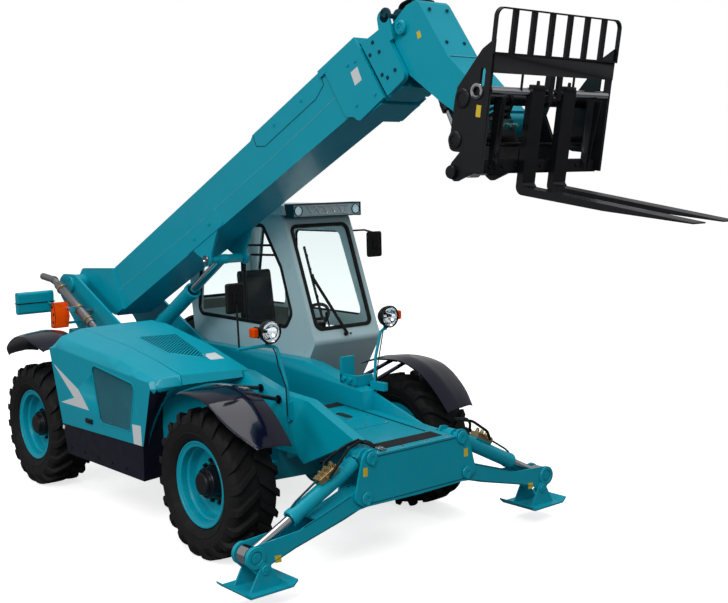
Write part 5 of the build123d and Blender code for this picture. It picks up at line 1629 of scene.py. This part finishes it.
# ---------------------------------------------------------------- frame and its fittings
@dataclass
class Undercarriage(Assembly):
    """Frame, axles, knuckles, tank and hitch with bolts, seams, hoses and the deck's grip strips."""

    deck_start: Point = (-160.0, 985.0)
    deck_end: Point = (965.0, 914.0)
    nose: Point = (960.0, 914.0)
    nose_slope: float = -14 / 236
    strips: tuple[tuple[Point, Point], ...] = (((-150, -270), (-40, 300)), ((640, -330), (940, -230)),
                                               ((985, -300), (1120, 330)))
    deck_bolts: Line = ((352, -190), (578, -190), (352, 230), (578, 230), (352, 20), (578, 20))
    rail_bead: Line = ((1060, 959), (495, 1179), (140, 1199), (-330, 1309))
    low_bead: tuple[Point, Point] = ((-150, 990), (955, 918))
    clip_places: Line = ((-330, 1176), (140, 1076), (620, 988))
    post_y: float = -490.0
    tower_y: float = 357.0
    tower_pivot: Point = (-3770.0, 1850.0)
    tower_bolts: Line = ((-3660, 1450), (-3500, 1450), (-2900, 1390), (-2600, 1340))
    rod_y: float = 640.0
    tank_straps: tuple[float, float] = (-2100, -1060)
    tank_face: float = 1121.0

    def build(self) -> None:
        """Builds the frame's skins and fittings."""
        self.skin("chassis_frame", TEAL, 4.0)
        self.skin("engine_block", ENGINE, 14.0)
        for node in ("front_axle", "rear_axle"):
            self.skin(node, TEAL, 3.0)
        for end in End:
            for side in Side:
                self.skin(f"{end.word}_knuckle_{side.word}", TEAL)
        self.skin("tow_hitch", BLACK, 4.0)
        self.skin("side_tank", TANK, 14.0, [("tank_steps", BLACK, lambda p: p.y > self.tank_face)])
        self.add_deck()
        self.add_rails()
        self.add_brackets()
        self.add_tower()
        self.add_axles()
        self.add_tank_trim()

    def deck_height(self, x: float) -> float:
        """Height of the sloping deck's top."""
        (x0, z0), (x1, z1) = self.deck_start, self.deck_end
        return z0 + (x - x0) * (z1 - z0) / (x1 - x0)

    def on_deck(self, spot: Vector) -> Vector:
        """A spot's place when its height is taken from the deck's top."""
        return Vector((spot.x, spot.y, spot.z + self.deck_height(spot.x)))

    def on_nose(self, spot: Vector) -> Vector:
        """A spot's place when its height is taken from the flatter nose."""
        return Vector((spot.x, spot.y, spot.z + self.nose[1] + (spot.x - self.nose[0]) * self.nose_slope))

    def add_deck(self) -> None:
        """Adds the grip strips, cover plate, bolts and the slot, painted as a dark shade, on the deck."""
        strips = self.new("deck_grip_strips", GRIP)
        for low, high in self.strips:
            bend = self.on_deck if high[0] < self.nose[0] else self.on_nose
            strips.bent(lambda: strips.box((*low, 0), (*high, 3), 1), bend)
        cover = self.new("deck_cover", TEAL)
        cover.bent(lambda: cover.plate(block((330, -210), (600, 250), 30), "Z", 0, 5, 1.5), self.on_deck)
        bolts = self.new("deck_bolts", CHROME)
        for x, y in self.deck_bolts:
            bolts.bolt((x, y, self.deck_height(x) + 4), (0, 0, 1), 18, 9)
        bolts.bolts([(1150, y) for y in (-350, -120, 120, 350)], "Z", 901, 1, 20, 10)
        # Dark plate on the deck: painted shade in the slot.
        slot = self.new("deck_slot", MESH)
        slot.bent(lambda: slot.plate(block((120, 60), (300, 130), 34), "Z", -1, 2, 0), self.on_deck)

    def add_rails(self) -> None:
        """Adds weld beads, hoses, clips and fittings along the rails."""
        # The rails' weld beads take the shaded teal: painted shade.
        welds = self.new("rail_weld_beads", TEAL_SHADE)
        for line, y in ((self.rail_bead, -399), (self.low_bead, -399), (self.low_bead, 301)):
            welds.beads(line, "Y", y, 4)
        hoses = self.new("rail_hoses", SEAL)
        fittings = self.new("rail_fittings", CHROME)
        for n in range(2):
            y, end = -386 + 21 * n, -330 + 30 * n
            hoses.tube([(-900, y, 1240 - 8 * n), (-330, y, 1190 - 8 * n), (140, y, 1090 - 8 * n),
                        (620, y, 1000 - 4 * n), (900, y - 6, 948), (1010, -345 + 26 * n, 938),
                        (1100, end, 918)], 9, 70)
            fittings.bar((1100, end, 918), (1140, end, 914), 14, sides=6, width=2)
            fittings.bar((1138, end, 914), (1176, end, 912), 9, sides=16)
        fittings.bar((700, -404, 1050), (700, -404, 1084), 12, sides=6, width=2)
        clips = self.new("rail_hose_clips", BLACK)
        for x, z in self.clip_places:
            clips.box((x - 14, -398, z - 12), (x + 14, -350, z + 26), 4)

    def add_brackets(self) -> None:
        """Adds the lamp post's foot and the brackets between rail and cab."""
        post, y = self.new("lamp_post_foot", TEAL), self.post_y
        post.box((236, y - 22, 1030), (304, y - 1, 1180), 4)
        post.bolts([(270, 1055), (270, 1155)], "Y", y - 22, -1, 22, 11)
        foot = self.new("rail_bracket_box", TEAL)
        for low, high in (((120, 452, 1120), (300, 500, 1190)), ((-90, 300, 1174), (-60, 440, 1390)),
                          ((-90, 300, 1170), (110, 330, 1250)), ((60, 330, 1150), (90, 520, 1240))):
            foot.box(low, high, 5)
        for x in (-20, 60):
            foot.bar((x, 300, 1215), (x, 268, 1215), 20, sides=32, width=4)

    def add_tower(self) -> None:
        """Adds the boom pivot's caps and the bolts of the rear tower."""
        tower, (x, z) = self.new("tower_fittings", TEAL), self.tower_pivot
        for side in Side:
            out = side.value
            y = out * self.tower_y
            tower.turned([(0, 0), (78, 0), (82, 6), (78, 16), (0, 16)], (x, y + out * 12, z), (0, out, 0), 48,
                         False)
            tower.bolt((x, y + out * 40, z + 55), (0, out, 0), 20, 10)
            tower.bolts(self.tower_bolts, "Y", y, out, 26, 12)

    def add_axles(self) -> None:
        """Adds the axles' cover and seat bolts and the steering rods."""
        bolts = self.new("axle_bolts", BLACK)
        rods = self.new("steering_rods", CHROME)
        for end in End:
            x = end.value
            ahead = 1 if end is End.FRONT else -1
            rod_x, far = x - ahead * 235, self.rod_y
            bolts.bolts(circle(12, 105, (0, AXLE_Z)), "X", x + ahead * 140, ahead, 20, 12)
            bolts.bolts([(x + shift, y) for y in (-445, 345) for shift in (-62, 62)], "Z", AXLE_Z + 60, -1,
                        28, 16)
            for out in (1, -1):
                rods.bar((rod_x, out * far, AXLE_Z), (rod_x, out * 300, AXLE_Z), 17, sides=24)
                rods.bar((rod_x, out * far, AXLE_Z - 30), (rod_x, out * far, AXLE_Z + 40), 24, sides=24,
                         width=4)
            rods.bar((rod_x, -300, AXLE_Z), (rod_x, 300, AXLE_Z), 38, sides=32, width=5)
            rods.box((rod_x - 30, -60, AXLE_Z - 20), (x - ahead * 180 + 30, 60, AXLE_Z + 30), 5)

    def add_tank_trim(self) -> None:
        """Adds the tank's filler cap and straps."""
        trim = self.new("tank_trim", BLACK)
        trim.turned([(0, 0), (46, 0), (52, 8), (50, 30), (34, 36), (0, 36)], (-860, 800, 820), (0.6, 0, 0.8),
                    40, False)
        for x in self.tank_straps:
            trim.box((x - 25, 1119, 436), (x + 25, 1127, 915), 3)
            trim.bolt((x, 1126, 880), (0, 1, 0), 22, 10)


@dataclass
class ExhaustAndRearLamps(Assembly):
    """Exhaust pipe with its clamps, the rear lamp guard, the red lenses and the orange lamp."""

    line_y: float = -500.0
    clamp_places: Line = ((-3329, 1634), (-3120, 1533), (-3700, 1813))
    lens_low: Point = (-880.0, -28.0)
    lens_high: Point = (-560.0, 28.0)
    mark_places: Line = ((-3505, 1500), (-3490, 1580), (-3515, 1655))
    mark_frame: Line = ((-3553, 1448), (-3475, 1448), (-3438, 1560), (-3474, 1692), (-3536, 1692))

    def is_side_lamp(self, p: Vector) -> bool:
        """Whether a face of the rear lights' node belongs to the orange lamp at the side."""
        return -3575 < p.x < -3420 and p.y < -553 and p.z < 1705

    def build(self) -> None:
        """Builds the skins and fittings."""
        self.skin("exhaust", EXHAUST)
        self.skin("rear_lights", TEAL, 4.0, [("side_lamp_body", ORANGE, self.is_side_lamp)])
        y = self.line_y
        band = self.new("exhaust_clamps", BRASS)
        for x, z in self.clamp_places:
            band.turned([(46, -12), (54, -12), (56, 0), (54, 12), (46, 12)], (x, y, z), (-0.9, 0, 0.43), 40)
        self.new("exhaust_joint", EXHAUST).bar((-3860, y, 1894), (-3900, y, 1905), 42, sides=40, width=3)
        # Dark disc in the pipe's mouth: painted shade inside the bore.
        bore = self.new("exhaust_bore", MESH)
        bore.turned([(0, 0), (31, 0), (31, 2), (0, 2)], (-4151, y, 1926), (-1, 0, 0.02), 32, False)
        self.new("lamp_guard_seam", SEAL).box((-3966, -912, 1672), (-3874, -500, 1682), 2)
        lens = self.new("rear_lamp_lenses", RED)
        (y0, z0), (y1, z1) = self.lens_low, self.lens_high
        for z in (1722, 1622):
            lens.plate(block((y0, z + z0), (y1, z + z1), 20), "X", -3968, -3959, 3)
        marks = self.new("side_lamp_marks", BLACK)
        for x, z in self.mark_places:
            marks.turned([(0, 0), (15, 0), (15, 4), (6, 7), (0, 7)], (x, -705, z), (0, -1, 0), 24, False)
        marks.frame(rounded(self.mark_frame, 12), 9.0, "Y", -709, -703, 1.5)


# ---------------------------------------------------------------- stabilisers
@dataclass
class Stabilisers(Assembly):
    """Front box and both stabilisers with their rings, bolts, valves, hoses and labels."""

    mid_x: float = 1090.0
    leg_half: float = 80.0
    ring_half: float = 87.0
    pad_half: float = 105.0
    box_face: float = 1197.0
    pivot: Point = (510.0, 593.0)
    top: Point = (460.0, 880.0)
    boss: Point = (1476.0, 376.0)
    foot: Point = (1410.0, 283.0)
    leg_label: Point = (1288.0, 322.0)
    box_labels: Line = ((-518, 787), (507, 751))
    leg_beads: tuple[Line, ...] = (((600, 508), (860, 438), (1130, 372), (1330, 312)),
                                   ((640, 626), (880, 548), (1060, 494)))
    pad_ribs: tuple[float, ...] = (-120, -60, 0, 60, 120)

    def build(self) -> None:
        """Builds the box and both sides."""
        self.skin("front_box", TEAL, 4.0)
        self.add_box_trim()
        for side in Side:
            for part, finish, width in (("leg", TEAL, 3.0), ("leg_barrel", TEAL, 3.0),
                                        ("leg_rod", CHROME, 0.0), ("pad", TEAL, 3.0)):
                self.skin(f"{part}_{side.word}", finish, width)
            self.add_leg(side.word, side.value)
            self.add_pad(side.word, side.value)
            self.add_cylinder(side.word, side.value)

    def add_box_trim(self) -> None:
        """Adds pin caps, weld beads and labels of the front box."""
        caps = self.new("front_box_pin_caps", TEAL)
        for side in Side:
            for y, z in ((side.value * y, z) for y, z in (self.pivot, self.top)):
                caps.turned([(0, 0), (48, 0), (50, 4), (46, 10), (20, 12), (18, 7), (0, 7)], (1203, y, z),
                            (1, 0, 0), 40, False)
                caps.box((1208, y - 10, z - 50), (1218, y + 10, z - 26), 3)
                caps.bolt((1218, y, z - 40), (1, 0, 0), 15, 8)
        # The box's weld beads take the shaded teal: painted shade.
        seam = self.new("front_box_welds", TEAL_SHADE)
        for half, z, radius in ((398, 884, 3.5), (505, 548, 3.0)):
            seam.beads([(-half, z), (half, z)], "X", self.box_face, radius)
        label = self.new("front_box_labels", YELLOW_FILM)
        for y, z in self.box_labels:
            outline = block((y - 20, z - 32), (y + 20, z + 32))
            label.plate(outline, "X", self.box_face - 1.5, self.box_face + 1, 0)

    def add_leg(self, word: str, out: int) -> None:
        """Adds one leg's rings, bolts, label and weld beads.

        Args:
            word: The side's name.
            out: 1 on the left side, -1 on the right.
        """
        body = f"leg_{word}"
        rings = self.new(f"leg_rings_{word}", TEAL, body)
        y, z = self.boss[0] * out, self.boss[1]
        for x, way in ((self.mid_x - self.ring_half, -1), (self.mid_x + self.ring_half, 1)):
            rings.turned([(44, 0), (76, 0), (79, 4), (75, 10), (50, 12)], (x, y, z), (way, 0, 0), 48)
            rings.turned([(0, 0), (40, 0), (40, 6), (30, 9), (0, 9)], (x, y, z), (way, 0, 0), 40, False)
            rings.bolts(circle(3, 22, (y, z)), "X", x + way * 7, way, 13, 7)
        y, z = self.leg_label[0] * out, self.leg_label[1]
        outline = [(y - 26, z - 20), (y + 26, z - 24), (y + 24, z + 26), (y - 28, z + 30)]
        face = self.mid_x + self.leg_half
        self.flat(f"leg_label_{word}", YELLOW_FILM, outline, "X", face - 0.4, face + 1.8, body)
        # The leg's weld beads take the shaded teal: painted shade.
        seam = self.new(f"leg_seams_{word}", TEAL_SHADE, body)
        for line in self.leg_beads:
            seam.beads([(a * out, b) for a, b in line], "X", face, 3)

    def add_pad(self, word: str, out: int) -> None:
        """Adds one foot's pin caps, bolts and grip ribs.

        Args:
            word: The side's name.
            out: 1 on the left side, -1 on the right.
        """
        pad = self.new(f"pad_trim_{word}", TEAL, f"pad_{word}")
        y, z = self.foot[0] * out, self.foot[1]
        for x, way in ((self.mid_x - self.pad_half, -1), (self.mid_x + self.pad_half, 1)):
            pad.turned([(0, 0), (34, 0), (36, 4), (32, 10), (0, 10)], (x, y, z), (way, 0, 0), 32, False)
            pad.bolt((x + way * 9, y, z), (way, 0, 0), 18, 9)
        for shift in self.pad_ribs:
            pad.box((940, y + shift - 5, 129), (1233, y + shift + 5, 140), 2)

    def add_cylinder(self, word: str, out: int) -> None:
        """Adds one leg cylinder's collars, lock valve, pipe and hoses.

        Args:
            word: The side's name.
            out: 1 on the left side, -1 on the right.
        """
        start = Vector((self.mid_x, out * self.top[0], self.top[1]))
        end = Vector((self.mid_x, out * self.boss[0], self.boss[1]))
        way = (end - start).normalized()
        up = Vector((0, -way.z * out, way.y * out))

        def at(along: float, above: float, x: float = 0.0) -> Place:
            """A place along the cylinder."""
            spot = start + way * along + up * above
            return (spot.x + x, spot.y, spot.z)

        body = f"leg_barrel_{word}"
        collar = self.new(f"leg_collar_{word}", TEAL, body)
        collar.turned([(46, 0), (62, 0), (64, 5), (64, 38), (60, 46), (46, 46)], at(696, 0), tuple(way), 48)
        collar.turned([(56, 0), (61, 0), (61, 14), (56, 14)], at(200, 0), tuple(way), 48)
        valve = self.new(f"leg_valve_{word}", BRASS, body)
        valve.bent(lambda: valve.box((238, -43, 60), (424, 43, 106), 6),
                   lambda spot: Vector(at(spot.x, spot.z, spot.y)))
        for along in (262, 318, 374):
            valve.bar(at(along, 100), at(along, 128), 17, sides=6, width=2)
            valve.bar(at(along, 126), at(along, 140), 11, sides=20, width=2)
        for along, face in ((300, -1), (360, 1)):
            valve.bar(at(along, 84, face * 44), at(along, 84, face * 70), 15, sides=6, width=2)
        for along in (246, 330, 412):
            valve.bolt(at(along, 104, 26), tuple(up), 13, 8)
        # The leg's pipe takes the shaded teal: painted shade.
        pipe = self.new(f"leg_pipe_{word}", TEAL_SHADE, body)
        pipe.tube([at(424, 92), at(470, 90), at(640, 76), at(690, 64), at(700, 50)], 8, 30)
        hose = self.new(f"leg_hoses_{word}", SEAL, body)
        hose.tube([at(300, 84, -68), at(262, 116, -84), at(190, 150, -30), at(90, 166, 14), at(-30, 124, 4)],
                  11, 60)
        hose.tube([at(360, 84, 68), at(280, 130, 90), at(110, 160, 60), at(-30, 120, 30)], 11, 60)


# ---------------------------------------------------------------- studio
@dataclass
class Studio:
    """Pale floor, soft lamps and the camera."""

    eye: Place = (7.4335, -5.537, 2.889)
    heading: float = 139.97
    pitch: float = -6.30
    roll: float = -1.33
    lens: float = 55.0
    floor_half: float = 60.0
    sensor: float = 36.0
    sight: float = 200.0
    lamp_aim: Place = (0.0, 0.0, 1.3)
    sky_strength: Point = (0.38, 1.0)
    floor_colour: Colour = (0.82, 0.82, 0.82)
    floor_dim: Colour = (0.15, 0.15, 0.16)
    floor_glow: float = 0.72
    lamps: tuple[tuple[str, Place, float, float], ...] = (
        ("key_lamp", (15.0, -15.0, 18.0), 10.0, 2300.0),
        ("top_lamp", (-1.0, 1.0, 24.0), 18.0, 1900.0),
        ("side_lamp", (1.0, -16.0, 6.0), 6.0, 420.0),
    )

    def build(self) -> None:
        """Builds the camera, lamps, world and floor."""
        self.make_camera()
        self.make_lamps()
        self.make_world()
        self.make_floor()

    def make_camera(self) -> None:
        """Places the camera at its fitted eye."""
        yaw, pitch, roll = (math.radians(angle) for angle in (self.heading, self.pitch, self.roll))
        ahead = Vector((math.cos(yaw) * math.cos(pitch), math.sin(yaw) * math.cos(pitch), math.sin(pitch)))
        right = ahead.cross(Vector((0, 0, 1))).normalized()
        up = right.cross(ahead)
        level = right * math.cos(roll) + up * math.sin(roll)
        tall = up * math.cos(roll) - right * math.sin(roll)
        camera = bpy.data.cameras.new("camera")
        camera.lens = self.lens
        camera.sensor_width = self.sensor
        camera.clip_end = self.sight
        holder = bpy.data.objects.new("camera", camera)
        turn = Matrix((level, tall, -ahead)).transposed().to_4x4()
        holder.matrix_world = Matrix.Translation(self.eye) @ turn
        bpy.context.scene.collection.objects.link(holder)
        bpy.context.scene.camera = holder

    def make_lamps(self) -> None:
        """Hangs the soft area lamps, each aimed at the machine's middle."""
        for name, place, size, power in self.lamps:
            lamp = bpy.data.lights.new(name, "AREA")
            lamp.shape = "DISK"
            lamp.size = size
            lamp.energy = power
            holder = bpy.data.objects.new(name, lamp)
            holder.location = place
            aim = Vector(self.lamp_aim) - Vector(place)
            holder.rotation_euler = aim.to_track_quat("-Z", "Y").to_euler()
            bpy.context.scene.collection.objects.link(holder)

    def make_world(self) -> None:
        """Soft sky that is white where it is seen directly."""
        world = bpy.data.worlds.new("studio_sky")
        bpy.context.scene.world = world
        bench = NodeBench(world)
        strength = bench.ramp(bench.seen_rays(), 0.0, 1.0, *self.sky_strength)
        bench.join(strength, bench.shader.inputs["Strength"])
        bench.shader.inputs["Color"].default_value = (1.0, 1.0, 1.0, 1.0)
        bpy.context.scene.view_settings.view_transform = "Standard"

    def make_floor(self) -> None:
        """Floor that is pale where it is seen and dim where the machine mirrors it."""
        bm = bmesh.new()
        bmesh.ops.create_grid(bm, x_segments=1, y_segments=1, size=self.floor_half)
        mesh = bpy.data.meshes.new("floor")
        bm.to_mesh(mesh)
        bm.free()
        floor = bpy.data.objects.new("floor", mesh)
        bpy.context.scene.collection.objects.link(floor)
        bench = NodeBench(bpy.data.materials.new("pale_floor"))
        bench.shader.inputs["Base Color"].default_value = (*self.floor_colour, 1.0)
        bench.shader.inputs["Roughness"].default_value = 0.9
        glow = bench.add("ShaderNodeEmission", Strength=self.floor_glow)
        dim = bench.add("ShaderNodeBsdfDiffuse", Color=(*self.floor_dim, 1.0))
        total = bench.add("ShaderNodeAddShader")
        seen = bench.add("ShaderNodeMixShader")
        for output, target in ((bench.shader.outputs[0], total.inputs[0]), (glow.outputs[0], total.inputs[1]),
                               (bench.seen_rays(), seen.inputs[0]), (dim.outputs[0], seen.inputs[1]),
                               (total.outputs[0], seen.inputs[2]),
                               (seen.outputs[0], bench.tree.nodes["Material Output"].inputs["Surface"])):
            bench.join(output, target)
        mesh.materials.append(bench.owner)


def main() -> None:
    """Builds the studio and every piece of the machine."""
    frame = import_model()
    Studio().build()
    for end in End:
        for side in Side:
            Wheel(end, side).build()
    for part in (Mudguards, EnginePod, Hood, Cab, CabInside, FrontLamps, Boom, Cylinders, Carriage,
                 Undercarriage, ExhaustAndRearLamps, Stabilisers):
        part(frame).fit()
        LOG.info("built %s", part.__name__)


if __name__ == "__main__":
    logging.basicConfig(level=logging.INFO, format="%(message)s")
    main()
